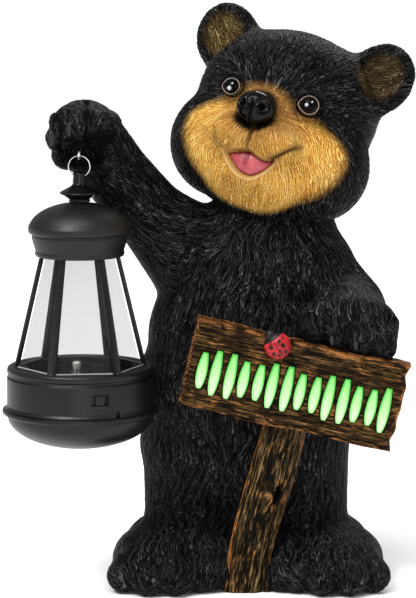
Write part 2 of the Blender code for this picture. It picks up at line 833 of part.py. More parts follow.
def drum(black, lantern, top):
    bottom = top - DRUM_HEIGHT
    inside = DRUM_RADIUS - WALL
    well = recess_radius()
    floor = top - DRUM_RECESS
    outer_step = DRUM_RADIUS - DRUM_STEP
    profile = [
        (0, floor),
        (well, floor),
        (well, top),
        (outer_step, top),
        (DRUM_RADIUS - DRUM_STEP * 0.4, top - DRUM_STEP),
        (DRUM_RADIUS, top - DRUM_STEP * 2),
        (DRUM_RADIUS, top - DRUM_STEP * 3.2),
        (outer_step, top - DRUM_STEP * 3.9),
        (outer_step, top - DRUM_STEP * 4.9),
        (DRUM_RADIUS - DRUM_STEP * 0.3, top - DRUM_STEP * 5.6),
        (DRUM_RADIUS, bottom + DRUM_STEP * 1.5),
        (DRUM_RADIUS + DRUM_STEP, bottom),
        (inside, bottom),
        (inside, top - WALL * 1.6),
        (well + WALL, top - WALL * 1.6),
        (well + WALL, floor - WALL),
        (0, floor - WALL),
    ]
    obj = add_object("lantern_drum", turned("lantern_drum", profile), black, lantern)
    wide, tall = SWITCH_WINDOW
    bm = bmesh.new()
    box(bm, (-wide / 2, -WALL * 3, -tall / 2), (wide / 2, WALL * 3, tall / 2))
    window = add_object("switch_window", mesh_from(bm, "switch_window"), None, lantern, True)
    window.matrix_local = switch_frame(top)
    cut(obj, window, "switch_window")
    return floor


def switch_frame(drum_top):
    """The switch's place in the drum's wall: X along the wall, -Y outwards."""
    turn = Matrix.Rotation(SWITCH_BEARING, 4, "Z")
    place = Matrix.Translation((0, -(DRUM_RADIUS - WALL / 2), drum_top - SWITCH_DROP))
    return turn @ place


def switch(black, lantern, drum_top):
    """A nub in the window, on a plate behind the wall that keeps it in."""
    wide, tall = SWITCH_NUB
    window_wide, window_tall = SWITCH_WINDOW
    travel = (window_wide - wide) / 2
    half_plate = window_wide / 2 + travel
    inside = DRUM_RADIUS - WALL
    bulge = inside - math.sqrt(inside ** 2 - (half_plate + travel) ** 2)
    behind = WALL / 2 + bulge + 0.0004
    bm = bmesh.new()
    box(bm, (-wide / 2, -WALL / 2 - 0.0002, -tall / 2), (wide / 2, behind + 0.0006, tall / 2))
    obj = add_object("switch_slider", mesh_from(bm, "switch_slider"), black, lantern)
    bm = bmesh.new()
    plate_tall = window_tall / 2 + WALL * 0.6
    box(bm, (-half_plate, behind, -plate_tall), (half_plate, behind + 0.0012, plate_tall))
    plate = add_object("slider_plate", mesh_from(bm, "slider_plate"), None, lantern, True)
    join = obj.modifiers.new("plate", "BOOLEAN")
    join.operation = "UNION"
    join.object = plate
    for piece in (obj, plate):
        piece.matrix_local = switch_frame(drum_top)


def bowl(black, lantern, top):
    """The lower bowl: a shell under a flange, open above into the drum."""
    under = top - LIP_THICKNESS
    profile = [
        (BOWL_RADIUS - WALL, top),
        (LIP_RADIUS * 0.975, top),
        (LIP_RADIUS, top - LIP_THICKNESS * 0.25),
        (LIP_RADIUS, top - LIP_THICKNESS * 0.62),
        (BOWL_RADIUS * 1.005, top - LIP_THICKNESS * 0.85),
    ]
    profile += arc((0, under), (BOWL_RADIUS, BOWL_DEPTH - LIP_THICKNESS), 0, -90, 6)
    profile[-1] = (0, top - BOWL_DEPTH)
    inner = arc((0, under), (BOWL_RADIUS - WALL, BOWL_DEPTH - LIP_THICKNESS - WALL), -90, 0, 5)
    inner[0] = (0, inner[0][1])
    profile += inner
    add_object("lantern_bowl", turned("lantern_bowl", profile), black, lantern)


def lamp(clear, black, lantern, floor):
    dome = LAMP_HEIGHT - LAMP_RADIUS
    profile = [(0, 0), (LAMP_RADIUS * 1.16, 0), (LAMP_RADIUS * 1.16, 0.0010), (LAMP_RADIUS, 0.0011)]
    profile += arc((0, dome), (LAMP_RADIUS, LAMP_RADIUS), 0, 90, 5)
    profile[-1] = (0, LAMP_HEIGHT)
    bulb = add_object("lamp", turned("lamp", profile, 14), clear, lantern)
    bulb.location = (-LAMP_RADIUS * 0.6, -LAMP_RADIUS, floor + GAP)
    wide, deep, tall = CARRIER_SIZE
    bm = bmesh.new()
    box(bm, (-wide / 2, 0, 0), (wide / 2, deep, tall))
    bmesh.ops.bevel(bm, geom=bm.edges[:], offset=0.0006, segments=1, affect="EDGES", profile=0.5)
    block = add_object("lamp_carrier", mesh_from(bm, "lamp_carrier"), black, lantern)
    block.location = (0, LAMP_RADIUS * 3, floor + GAP)


def lantern_pieces(black, clear, steel, parent):
    lantern = bpy.data.objects.new("lantern", None)
    bpy.context.scene.collection.objects.link(lantern)
    lantern.parent = parent
    lantern.location = hang_point()
    screw_eye(steel, lantern)
    place = Matrix.Translation((0, 0, ring_middle()))
    wire_loop("split_ring", SPLIT_RING_RADIUS, WIRE_RADIUS, steel, lantern, place)
    cap_top = finial(black, lantern) - GAP
    skirt = cap(black, lantern, cap_top)
    drum_top = skirt - GLAZING_HEIGHT
    bars(black, lantern, skirt, drum_top)
    panes(clear, lantern, skirt, drum_top)
    floor = drum(black, lantern, drum_top)
    switch(black, lantern, drum_top)
    bowl(black, lantern, drum_top - DRUM_HEIGHT - GAP)
    lamp(clear, black, lantern, floor)


def shown_corners():
    """Lowest and highest corner of every visible piece, as it stands."""
    bpy.context.view_layer.update()
    graph = bpy.context.evaluated_depsgraph_get()
    low = Vector((math.inf,) * 3)
    high = -low
    for obj in bpy.data.objects:
        if obj.type != "MESH" or obj.hide_render:
            continue
        evaluated = obj.evaluated_get(graph)
        for vert in evaluated.to_mesh().vertices:
            point = evaluated.matrix_world @ vert.co
            low = Vector(map(min, low, point))
            high = Vector(map(max, high, point))
        evaluated.to_mesh_clear()
    return low, high


def build():
    for obj in list(bpy.data.objects):
        bpy.data.objects.remove(obj)
    fur = material("black_fur_resin", (0.018, 0.018, 0.020), 0.45)
    wood = material("painted_wood_resin", (0.16, 0.085, 0.035), 0.7)
    glow = material("green_light_plastic", (0.45, 0.95, 0.38), 0.4)
    red = material("red_gloss_paint", (0.50, 0.03, 0.035), 0.25)
    black = material("black_satin_plastic", (0.025, 0.025, 0.027), 0.38)
    clear = material("clear_plastic", (0.92, 0.94, 0.95), 0.05, alpha=0.25)
    steel = material("bright_steel", (0.75, 0.73, 0.70), 0.2, metallic=1.0)

    statue = bpy.data.objects.new("statue", None)
    bpy.context.scene.collection.objects.link(statue)
    casting = bear(fur, statue)
    seat_in_bear(casting, statue)
    sign(wood, glow, statue)
    post(wood, statue)
    beetle(red, statue)
    lantern_pieces(black, clear, steel, statue)

    low, high = shown_corners()
    statue.location = (-(low.x + high.x) / 2, -(low.y + high.y) / 2, -low.z)


build()
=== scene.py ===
"""Looks of the lantern bear: carved skins, finishes, studio light and camera round its solids."""

import math
import random

import bmesh
import bpy
import numpy as np
from mathutils import Matrix, Vector, kdtree


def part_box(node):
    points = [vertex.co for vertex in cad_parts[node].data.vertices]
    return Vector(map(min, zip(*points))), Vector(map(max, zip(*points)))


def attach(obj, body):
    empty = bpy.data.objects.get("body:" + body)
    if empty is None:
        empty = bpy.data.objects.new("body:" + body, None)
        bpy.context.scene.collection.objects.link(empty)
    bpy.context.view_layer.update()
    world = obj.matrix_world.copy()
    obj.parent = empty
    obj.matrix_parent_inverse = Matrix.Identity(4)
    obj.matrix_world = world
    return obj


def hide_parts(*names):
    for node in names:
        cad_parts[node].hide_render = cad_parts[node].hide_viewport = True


MM = 0.001

# Bear, in millimetres on its own axes: X to the viewer's right, -Y to the front
LANTERN_PLACE = (-83.58, -60.0)
HEAD_MIDDLE = (47.6, -4, 304)
HEAD_TURN = math.radians(-17)
HEAD_TILT = math.radians(14)
HEAD_LIFT = math.radians(-7)
MASS_VOXEL = 3.2
FORM_VOXEL = 2.1
HEAD_VOXEL = 0.78
BODY_VOXEL = 1.04
MOST_TRIANGLES = 192000
RAISED_PAW = (*LANTERN_PLACE, 291.9)
TUFTS_NEAR = 8

# Head, in its own millimetres
EAR_MIDDLE = (56.5, 1.0, 51.0)
EAR_LEAN = math.radians(20)
EAR_HOLLOW = 8.5
EYE_RADIUS = 5.6
NOSE_MIDDLE = (-2.6, -63.8, 5.3)
NOSE_SIZE = (12.4, 10.8, 11.2)
STRANDS_START = (0, -66, 8.0)
TONGUE_MIDDLE = (1.2, -46.0, -29.0)
TONGUE_SIZE = (20.0, 12.0, 13.5)

# Sign
SIGN_LEAN = math.radians(12.8)
SIGN_TIP = math.radians(3.5)
BOARD = (142.0, 14.0, 59.0)
GRIP_PLACE = (62.5, -80.8, 172.7)
NOTCH_DEPTH = 2.4
STROKE_PAIRS = 7
STROKE_TALL = 30.0
STROKE_WIDTH = 6.8
STROKE_MARGIN = 5.5
STROKE_DEPTH = 1.6
STROKE_DROP = 3.4
POST = (24.5, 16.5)
POST_SWELL = 5.5
POST_TOP_OVERLAP = 36.0
BEETLE_RADIUS = 8.8
BEETLE_RISE = 6.6
BEETLE_SPOTS = (
    (2.2, 3.6, 1.5), (3.0, -3.0, 1.2), (-2.0, 4.4, 1.3),
    (-0.6, -3.6, 1.6), (-5.0, 2.0, 1.1), (-5.4, -2.6, 1.2),
)

# Lantern
WIRE = 0.8
SIDES = 6
LANTERN_TWIST = math.radians(6.5)
SWITCH_BEARING = math.radians(17.5)
NOTCH_BEARING = math.radians(31.5)
BRIM_RISE = 2.9
WELL_RADIUS = 40.0
SWITCH_DROP = 12.5
SWITCH_WINDOW = (11.6, 12.0, 7.2)
CAP_JOINT = 26.1
BAR_FOOT = 43.7
BAR_RUN = 75.5
EYE_LOOP = 3.4
RING_LOOP = 7.0

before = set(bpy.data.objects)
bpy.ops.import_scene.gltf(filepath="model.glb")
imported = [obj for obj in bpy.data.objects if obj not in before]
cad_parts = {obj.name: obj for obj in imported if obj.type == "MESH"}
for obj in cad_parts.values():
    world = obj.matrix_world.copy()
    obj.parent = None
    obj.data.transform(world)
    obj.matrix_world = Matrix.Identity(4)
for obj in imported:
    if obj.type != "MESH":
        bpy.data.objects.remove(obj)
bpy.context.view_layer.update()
lowest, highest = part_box("lantern_bowl")
ORIGIN = (lowest + highest) / 2 - Vector((*LANTERN_PLACE, 0)) * MM
ORIGIN.z = 0.0
LANTERN_AXIS = Vector(((lowest.x + highest.x) / 2, (lowest.y + highest.y) / 2, 0.0))


def at(x, y, z):
    """A place on the bear, in metres in the model's frame."""
    return ORIGIN + Vector((x, y, z)) * MM


# Finishes

class Signal:
    """A number, vector or colour that varies over a surface, with sums written as Python."""

    def __init__(self, finish, socket):
        self.finish = finish
        self.socket = socket

    def math(self, operation, *others):
        inputs = dict(enumerate((self, *others)))
        return self.finish.node("ShaderNodeMath", {"operation": operation}, inputs)

    def vector(self, operation, *others, out=0):
        inputs = dict(enumerate((self, *others)))
        return self.finish.node("ShaderNodeVectorMath", {"operation": operation}, inputs, out)

    def __add__(self, other):
        return self.math("ADD", other)

    __radd__ = __add__

    def __sub__(self, other):
        return self.math("SUBTRACT", other)

    def __rsub__(self, other):
        return self.finish.node("ShaderNodeMath", {"operation": "SUBTRACT"}, {0: other, 1: self})

    def __mul__(self, other):
        return self.math("MULTIPLY", other)

    __rmul__ = __mul__

    def __truediv__(self, other):
        return self.math("DIVIDE", other)

    def ramp(self, low, high):
        """0 below low, 1 above high, with an eased slope between them."""
        settings = {"interpolation_type": "SMOOTHSTEP"}
        inputs = {"Value": self, "From Min": low, "From Max": high}
        return self.finish.node("ShaderNodeMapRange", settings, inputs)

    def dot(self, other):
        return self.vector("DOT_PRODUCT", other, out="Value")


class Finish:
    """One material: a Principled shader, and the nodes that feed it."""

    def __init__(self, name, **constants):
        self.material = bpy.data.materials.new(name)
        self.material.use_nodes = True
        self.tree = self.material.node_tree
        self.shader = self.tree.nodes["Principled BSDF"]
        for key, value in constants.items():
            self.shader.inputs[key.replace("_", " ")].default_value = value

    def node(self, kind, settings, inputs, out=0):
        made = self.tree.nodes.new(kind)
        for key, value in settings.items():
            if key == "stops":
                self.set_stops(made.color_ramp, value)
            else:
                setattr(made, key, value)
        for key, value in inputs.items():
            socket = made.inputs[key]
            if isinstance(value, Signal):
                self.tree.links.new(value.socket, socket)
            elif isinstance(value, tuple) and len(value) == 3 and socket.type == "RGBA":
                socket.default_value = (*value, 1.0)
            else:
                socket.default_value = value
        return Signal(self, made.outputs[out])

    def set_stops(self, ramp, stops):
        while len(ramp.elements) < len(stops):
            ramp.elements.new(0.5)
        for element, (place, colour) in zip(ramp.elements, stops):
            element.position = place
            element.color = (*colour, 1.0)

    def place(self):
        return self.node("ShaderNodeTexCoord", {}, {}, "Object")

    def normal(self):
        return self.node("ShaderNodeTexCoord", {}, {}, "Normal")

    def attribute(self, name, out="Fac"):
        return self.node("ShaderNodeAttribute", {"attribute_name": name}, {}, out)

    def xyz(self, x, y, z=0.0):
        return self.node("ShaderNodeCombineXYZ", {}, {0: x, 1: y, 2: z})

    def split(self, vector):
        return [self.node("ShaderNodeSeparateXYZ", {}, {0: vector}, k) for k in range(3)]

    def noise(self, place, scale, detail=3.0, roughness=0.55, distortion=0.0):
        return self.node("ShaderNodeTexNoise", {}, {
            "Vector": place, "Scale": scale, "Detail": detail, "Roughness": roughness,
            "Distortion": distortion,
        })

    def luck(self, x, y):
        """A random value from 0 to 1 for each pair of numbers."""
        settings = {"noise_dimensions": "2D"}
        return self.node("ShaderNodeTexWhiteNoise", settings, {"Vector": self.xyz(x, y)})

    def mix(self, share, first, second):
        settings = {"data_type": "RGBA"}
        return self.node("ShaderNodeMix", settings, {0: share, 6: first, 7: second}, 2)

    def colours(self, share, stops):
        return self.node("ShaderNodeValToRGB", {"stops": stops}, {0: share})

    def bump(self, height, distance, strength):
        """Relief of a height from 0 to 1, its distance in millimetres."""
        inputs = {"Height": height, "Distance": distance * MM, "Strength": strength}
        return self.node("ShaderNodeBump", {}, inputs)

    def feed(self, **inputs):
        for key, signal in inputs.items():
            self.tree.links.new(signal.socket, self.shader.inputs[key.replace("_", " ")])
        return self.material


def grey(level):
    return (level, level, level)


def strands(finish, cell, wide, long, seed):
    """Combed strands, cell by cell along the flow, as a height from 0 to 1."""
    flow = finish.attribute("flow", "Vector")
    side = finish.normal().vector("CROSS_PRODUCT", flow)
    place = finish.place().vector("ADD", (seed * 0.0137, seed * 0.0071, seed * 0.0193))
    wander = finish.noise(place, 1 / (cell * 1.2), 2.0)
    inputs = {"Vector": place, "Scale": 1 / cell, "Randomness": 1.0}
    centre = finish.node("ShaderNodeTexVoronoi", {"voronoi_dimensions": "3D"}, inputs, "Position")
    red, green, blue = finish.split(Signal(finish, centre.socket.node.outputs["Color"]))
    local = place.vector("SUBTRACT", centre)
    along = local.dot(flow)
    across = local.dot(side) + along * (green - 0.5) * 0.36 + (wander - 0.5) * cell * 0.4
    drift = finish.xyz(along / (long * 0.7) + blue * 37, across / (wide * 4) + red * 53)
    wobble = finish.noise(drift, 1.0, 1.0)
    row = across / wide + red * 61 + (wobble - 0.5) * 2.2
    lane = row.math("FLOOR")
    run = along / long + finish.luck(lane, blue) * 7
    bright = finish.luck(lane, run.math("FLOOR"))
    reach = run.math("FRACT")
    ridge = 1 - (row.math("FRACT") * 2 - 1).math("ABSOLUTE")
    lit = ridge.ramp(0.08, 0.92) * (0.34 + bright * 0.66) * (0.72 + reach * 0.4)
    return lit * (1 - reach.ramp(0.86, 1.0) * 0.8)


def fur_finish():
    finish = Finish("combed_fur", IOR=1.08)
    height = strands(finish, 17.0 * MM, 1.50 * MM, 14.0 * MM, 1)
    height = height.math("MAXIMUM", strands(finish, 12.0 * MM, 1.25 * MM, 10.0 * MM, 5) * 0.8)
    lock = finish.attribute("lock")
    patch = finish.noise(finish.place(), 55.0, 3.0)
    tan = finish.attribute("tan")
    border = (tan + (height - 0.5) * 0.10 + (patch - 0.5) * 0.12).ramp(0.12, 0.88)
    # The black is lighter on strand ridges and raised locks, a painted sheen, and nearly black in the
    # gaps between locks, painted shade.
    black = finish.colours(height * (0.46 + lock * 0.66), [
        (0.06, grey(0.0003)), (0.26, grey(0.0042)), (0.50, (0.0235, 0.0230, 0.0238)),
        (0.90, (0.098, 0.095, 0.099)),
    ])
    lit = height * 0.50 + lock * 0.16 + patch * 0.32
    gold = finish.colours(lit, [
        (0.14, (0.130, 0.045, 0.007)), (0.32, (0.400, 0.185, 0.032)),
        (0.52, (0.620, 0.362, 0.086)), (0.80, (0.740, 0.540, 0.200)),
    ])
    muzzle = finish.colours(lit, [
        (0.14, (0.060, 0.022, 0.005)), (0.33, (0.225, 0.098, 0.023)),
        (0.54, (0.400, 0.205, 0.058)), (0.84, (0.580, 0.370, 0.135)),
    ])
    gold = finish.mix(finish.attribute("muzzle"), gold, muzzle)
    # The ear's brown is lighter on strand ridges, a painted sheen.
    brown = finish.colours(height, [
        (0.1, (0.016, 0.010, 0.003)), (0.5, (0.100, 0.062, 0.018)), (0.9, (0.300, 0.210, 0.075)),
    ])
    colour = finish.mix(border, black, gold)
    colour = finish.mix(finish.attribute("ear") * (0.45 + patch * 0.6), colour, brown)
    # Near black where shade is kept: black paint round the nose, and painted shade at the eye sockets'
    # edges, between the raised paw's fingers and under its palm.
    shade = (finish.attribute("shade") + (0.5 - height) * 0.16).ramp(0.10, 0.90)
    colour = finish.mix(shade, colour, (0.0035, 0.003, 0.003))
    # Painted shade: dark brown along the right smile cut, the left fold, the philtrum groove and the
    # mouth's edge.
    colour = finish.mix(finish.attribute("crease"), colour, (0.060, 0.026, 0.008))
    lip = finish.attribute("lip")
    lip_colour = finish.mix(finish.attribute("rim"), (0.300, 0.150, 0.048), (0.470, 0.315, 0.135))
    colour = finish.mix(lip, colour, lip_colour)
    bumped = finish.bump(height * (1 - lip * 0.9), 0.8, 0.9)
    rough = 0.42 - height * 0.12 + border * 0.12
    return finish.feed(Base_Color=colour, Roughness=rough, Normal=bumped)


def wood_finish(name, body_stops, copper_colour, copper_low):
    """Old wood: near-black cracks, dull brown flats and copper on the worn rims; on the post the copper
    is stronger at its left edge, painted light from that side.
    """
    finish = Finish(name, IOR=1.13)
    relief = finish.attribute("relief")
    worn = finish.attribute("worn")
    place = finish.attribute("grain", "Vector")
    long = finish.noise(place.vector("MULTIPLY", (0.045, 1.05, 1.05)), 1.0, 3.0, 0.65, 0.3)
    fine = finish.noise(place.vector("MULTIPLY", (0.13, 1.60, 1.60)), 1.0, 2.0, 0.7)
    patch = finish.noise(place, 0.09, 4.0, 0.6)
    body = (relief * 0.22 + long * 0.95 + fine * 0.75 + (patch - 0.5) * 0.2 - 0.45).ramp(0.26, 0.88)
    colour = finish.colours(body, body_stops)
    rub = patch * 0.9 + fine * 1.10 + long * 0.5 + relief * 0.15 + worn * 0.34
    colour = finish.mix(rub.ramp(copper_low, copper_low + 0.18), colour, copper_colour)
    colour = finish.mix(relief.ramp(0.0, 0.16), (0.0010, 0.0007, 0.0004), colour)
    bumped = finish.bump(long * 0.4 + fine * 0.6, 0.9, 0.9)
    return finish.feed(Base_Color=colour, Roughness=0.62 - relief * 0.16, Normal=bumped)


def glow_finish():
    """Painted glow, as if lit from behind: green at the rims and the upper ends, nearly white towards the
    foot, with a faint emission.
    """
    finish = Finish("painted_glow", Roughness=0.5, Emission_Strength=0.04)
    rim = finish.attribute("rim")
    fall = finish.attribute("fall")
    spots = finish.noise(finish.place(), 420.0, 3.0)
    light = (fall * 0.62 + rim * 0.52 + (spots - 0.5) * 0.30).ramp(0.22, 1.12)
    colour = finish.colours(light, [
        (0.0, (0.050, 0.360, 0.040)), (0.35, (0.180, 0.610, 0.130)),
        (0.72, (0.325, 0.610, 0.245)), (1.0, (0.470, 0.595, 0.395)),
    ])
    bumped = finish.bump(spots, 0.2, 0.4)
    return finish.feed(Base_Color=colour, Emission_Color=colour, Normal=bumped)


def black_finish(name, roughness, level, depth=0.05, ior=1.35):
    """Black plastic, a little cloudy; inside the lamp's well it's duller."""
    finish = Finish(name, IOR=ior)
    place = finish.place()
    grain = finish.noise(place, 1500.0, 2.0)
    cloud = finish.noise(place, 70.0, 3.0)
    colour = finish.mix(cloud, grey(level * 0.75), grey(level * 1.35))
    bumped = finish.bump(grain, depth, 0.6)
    rough = roughness + (cloud - 0.5) * 0.14 + finish.attribute("inside") * 0.5
    return finish.feed(Base_Color=colour, Roughness=rough, Normal=bumped)


def clear_finish(name, alpha, level, ior=1.46):
    """Clear plastic, slightly smeared."""
    finish = Finish(name, Base_Color=(level * 0.97, level, level * 1.02, 1.0), Alpha=alpha, IOR=ior)
    smear = finish.noise(finish.place(), 60.0, 3.0)
    return finish.feed(Roughness=0.04 + smear * 0.10)


def steel_finish():
    finish = Finish("bright_steel", Metallic=1.0)
    cloud = finish.noise(finish.place(), 900.0, 3.0)
    colour = finish.mix(cloud, (0.52, 0.50, 0.48), (0.80, 0.79, 0.77))
    return finish.feed(Base_Color=colour, Roughness=0.16 + cloud * 0.16)


def cup_finish():
    """The lamp's pale cup, with dark specks in cloudy noise: painted reflections of a shiny cup."""
    finish = Finish("lamp_cup", Metallic=0.3)
    cloud = finish.noise(finish.place(), 700.0, 2.0)
    colour = finish.mix(cloud.ramp(0.34, 0.50), (0.060, 0.055, 0.045), (0.95, 0.93, 0.80))
    return finish.feed(Base_Color=colour, Roughness=0.20 + cloud * 0.2)


def eye_finish():
    """A glass eye: nearly black, with a brown iris at its rim and a painted catchlight."""
    finish = Finish("glass_eye", Roughness=0.05, IOR=1.14)
    rim = finish.attribute("rim")
    fibres = finish.noise(finish.place(), 700.0, 3.0)
    colour = finish.colours(rim + (fibres - 0.5) * 0.25, [
        (0.66, grey(0.001)), (0.80, (0.008, 0.005, 0.003)),
        (0.90, (0.010, 0.007, 0.005)), (0.97, grey(0.001)),
    ])
    glint = finish.attribute("glint") * (0.5 + fibres * 0.8)
    return finish.feed(Base_Color=finish.mix(glint, colour, (0.52, 0.54, 0.58)))


def eye_rim_finish():
    finish = Finish("eye_rim", Roughness=0.4)
    cloud = finish.noise(finish.place(), 500.0, 3.0)
    colour = finish.mix(cloud, (0.120, 0.078, 0.062), (0.360, 0.275, 0.240))
    return finish.feed(Base_Color=colour)


def nose_finish():
    finish = Finish("wet_nose", IOR=1.25)
    grain = finish.noise(finish.place(), 620.0, 3.0)
    colour = finish.mix(grain, grey(0.0006), grey(0.0022))
    bumped = finish.bump(grain, 0.10, 0.5)
    return finish.feed(Base_Color=colour, Roughness=0.05 + grain * 0.10, Normal=bumped)


def tongue_finish():
    finish = Finish("tongue")
    place = finish.place()
    pimples = finish.noise(place, 900.0, 2.0)
    cloud = finish.noise(place, 160.0, 3.0)
    colour = finish.mix(cloud.ramp(0.3, 0.7), (0.280, 0.030, 0.044), (0.410, 0.070, 0.078))
    # The groove is painted darker red, as painted shade.
    colour = finish.mix(finish.attribute("relief"), (0.120, 0.006, 0.014), colour)
    bumped = finish.bump(pimples, 0.2, 0.6)
    return finish.feed(Base_Color=colour, Roughness=0.36 + pimples * 0.1, Normal=bumped)


def beetle_finish():
    finish = Finish("beetle_paint", IOR=1.30)
    cloud = finish.noise(finish.place(), 420.0, 4.0, 0.7)
    red = finish.colours(cloud, [
        (0.34, (0.050, 0.002, 0.003)), (0.46, (0.270, 0.008, 0.010)),
        (0.60, (0.450, 0.020, 0.026)), (0.74, (0.600, 0.170, 0.170)),
    ])
    black = (finish.attribute("black") + (cloud - 0.5) * 0.3).ramp(0.4, 0.6)
    colour = finish.mix(black, red, (0.008, 0.006, 0.006))
    bumped = finish.bump(cloud, 0.3, 0.5)
    return finish.feed(Base_Color=colour, Roughness=0.30 + cloud * 0.2, Normal=bumped)


def floor_finish():
    finish = Finish("pale_floor", Roughness=0.8, Specular_IOR_Level=0.1)
    cloud = finish.noise(finish.place(), 6.0, 3.0)
    return finish.feed(Base_Color=finish.mix(cloud, grey(0.95), grey(0.97)))


# Meshes

def finished(name, mesh, finish, nodes=(), sharp=35, body="statue"):
    """Places a mesh in the scene as a piece that rides on a body, with its creases sharp."""
    mesh.materials.clear()
    mesh.materials.append(finish)
    mesh.shade_smooth()
    if sharp:
        mesh.set_sharp_from_angle(angle=math.radians(sharp))
    piece = bpy.data.objects.new(name, mesh)
    bpy.context.scene.collection.objects.link(piece)
    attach(piece, body)
    if nodes:
        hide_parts(*nodes)
    return piece


def mesh_of(bm, name, place=None):
    """A closed mesh from bm, its faces outwards, carried to its place."""
    if place is not None:
        bmesh.ops.transform(bm, matrix=place, verts=bm.verts)
    bmesh.ops.remove_doubles(bm, verts=bm.verts, dist=1e-6)
    bmesh.ops.recalc_face_normals(bm, faces=bm.faces)
    mesh = bpy.data.meshes.new(name)
    bm.to_mesh(mesh)
    bm.free()
    return mesh


def triples(layer, key):
    values = np.empty(len(layer) * 3)
    layer.foreach_get(key, values)
    return values.reshape(-1, 3)


def corners(mesh):
    return triples(mesh.vertices, "co")


def normals(mesh):
    return triples(mesh.vertex_normals, "vector")


def move_corners(mesh, places):
    mesh.vertices.foreach_set("co", np.ascontiguousarray(places).ravel())
    mesh.update()


def keep(mesh, **values):
    """Numbers, or vectors in rows of three, kept on the mesh's corners by name."""
    for name, given in values.items():
        given = np.ascontiguousarray(given, dtype=np.float32)
        kind, key = ("FLOAT", "value") if given.ndim == 1 else ("FLOAT_VECTOR", "vector")
        mesh.attributes.new(name, kind, "POINT").data.foreach_set(key, given.ravel())


def with_modifiers(mesh, *modifiers):
    """The mesh after modifiers, each a kind and its settings."""
    helper = bpy.data.objects.new("helper", mesh)
    bpy.context.scene.collection.objects.link(helper)
    for kind, settings in modifiers:
        modifier = helper.modifiers.new(kind.lower(), kind)
        for key, value in settings.items():
            setattr(modifier, key, value)
    bpy.context.view_layer.update()
    graph = bpy.context.evaluated_depsgraph_get()
    made = bpy.data.meshes.new_from_object(helper.evaluated_get(graph))
    bpy.data.objects.remove(helper)
    return made


def without(mesh, cutter):
    """The mesh with the cutter's shape taken out of it."""
    tool = bpy.data.objects.new("tool", cutter)
    bpy.context.scene.collection.objects.link(tool)
    tool.hide_render = True
    made = with_modifiers(mesh, ("BOOLEAN", {"operation": "DIFFERENCE", "object": tool}))
    bpy.data.objects.remove(tool)
    return made


def skin_of(mesh, voxel, rounds):
    return with_modifiers(
        mesh,
        ("REMESH", {"mode": "VOXEL", "voxel_size": voxel * MM}),
        ("SMOOTH", {"factor": 0.5, "iterations": rounds}),
    )


def thinned(mesh):
    """The mesh with fewer triangles where it's flat, so that its piece keeps to its share."""
    mesh.calc_loop_triangles()
    share = MOST_TRIANGLES / len(mesh.loop_triangles)
    return with_modifiers(mesh, ("DECIMATE", {"ratio": share})) if share < 1 else mesh


def cut_flat(bm, place, way):
    """Cuts off what lies behind a plane, and closes the cut."""
    everything = list(bm.verts) + list(bm.edges) + list(bm.faces)
    found = bmesh.ops.bisect_plane(
        bm, geom=everything, plane_co=place, plane_no=way, clear_inner=True,
    )
    rim = [item for item in found["geom_cut"] if isinstance(item, bmesh.types.BMEdge)]
    bmesh.ops.holes_fill(bm, edges=rim, sides=0)


def spun(bm, line, axis, steps):
    """Turns a line of corners and edges once round the axis."""
    bmesh.ops.spin(
        bm, geom=line, cent=(0, 0, 0), axis=axis, dvec=(0, 0, 0),
        angle=math.tau, steps=steps, use_merge=True,
    )


def softened(bm, edges, offset, segments):
    bmesh.ops.bevel(
        bm, geom=edges, offset=offset, segments=segments, affect="EDGES", profile=0.5, material=-1,
    )


def rod(bm, radius, length, place, segments):
    bmesh.ops.create_cone(
        bm, cap_ends=True, segments=segments, radius1=radius, radius2=radius,
        depth=length, matrix=place,
    )


def box_at(bm, place):
    bmesh.ops.create_cube(bm, size=1.0, matrix=place)


def sized(middle, size):
    """A unit shape's place and size."""
    return Matrix.Translation(middle) @ Matrix.Diagonal((*size, 1))


def eased(values, low, high):
    """0 below low, 1 above high, with an eased slope between them."""
    share = np.clip((values - low) / (high - low), 0, 1)
    return share * share * (3 - 2 * share)


def bell(values, width, power=2):
    """1 where the values are 0, falling off within the width."""
    return np.exp(-((values / width) ** power))


def lattice(x, y, seed):
    """Smooth random values from 0 to 1 over a plane of unit cells."""
    table = np.random.default_rng(seed).random((128, 128))
    column, row = np.floor(x).astype(int), np.floor(y).astype(int)
    across, up = x - column, y - row
    across, up = across * across * (3 - 2 * across), up * up * (3 - 2 * up)

    def corner(right, above):
        return table[(column + right) % 128, (row + above) % 128]

    low = corner(0, 0) * (1 - across) + corner(1, 0) * across
    high = corner(0, 1) * (1 - across) + corner(1, 1) * across
    return low * (1 - up) + high * up


def layered(x, y, seed, layers=4, gain=0.5):
    total, weight, size = 0.0, 0.0, 1.0
    for layer in range(layers):
        u, w = x * 2 ** layer + 7.3 * layer, y * 2 ** layer + 3.1 * layer
        total = total + lattice(u, w, seed + layer) * size
        weight += size
        size *= gain
    return total / weight


def line_distance(points, line):
    """Distance of each point to a run of straight lines, in any number of dimensions."""
    line = np.asarray(line, float)
    nearest = np.full(len(points), np.inf)
    for start, end in zip(line, line[1:]):
        way = end - start
        share = np.clip((points - start) @ way / max(way @ way, 1e-12), 0, 1)
        gap = points - start - share[:, None] * way
        nearest = np.minimum(nearest, np.sqrt((gap * gap).sum(1)))
    return nearest


def inside_depth(points, outline):
    """Signed distance to a closed outline in the plane, above zero inside it."""
    outline = np.asarray(outline, float)
    closed = np.vstack([outline, outline[:1]])
    inside = np.zeros(len(points), bool)
    x, y = points[:, 0], points[:, 1]
    for (x1, y1), (x2, y2) in zip(closed, closed[1:]):
        crosses = (y1 > y) != (y2 > y)
        slope = (x2 - x1) / ((y2 - y1) or 1e-12)
        inside ^= crosses & (x < x1 + (y - y1) * slope)
    return np.where(inside, 1, -1) * line_distance(points, closed)


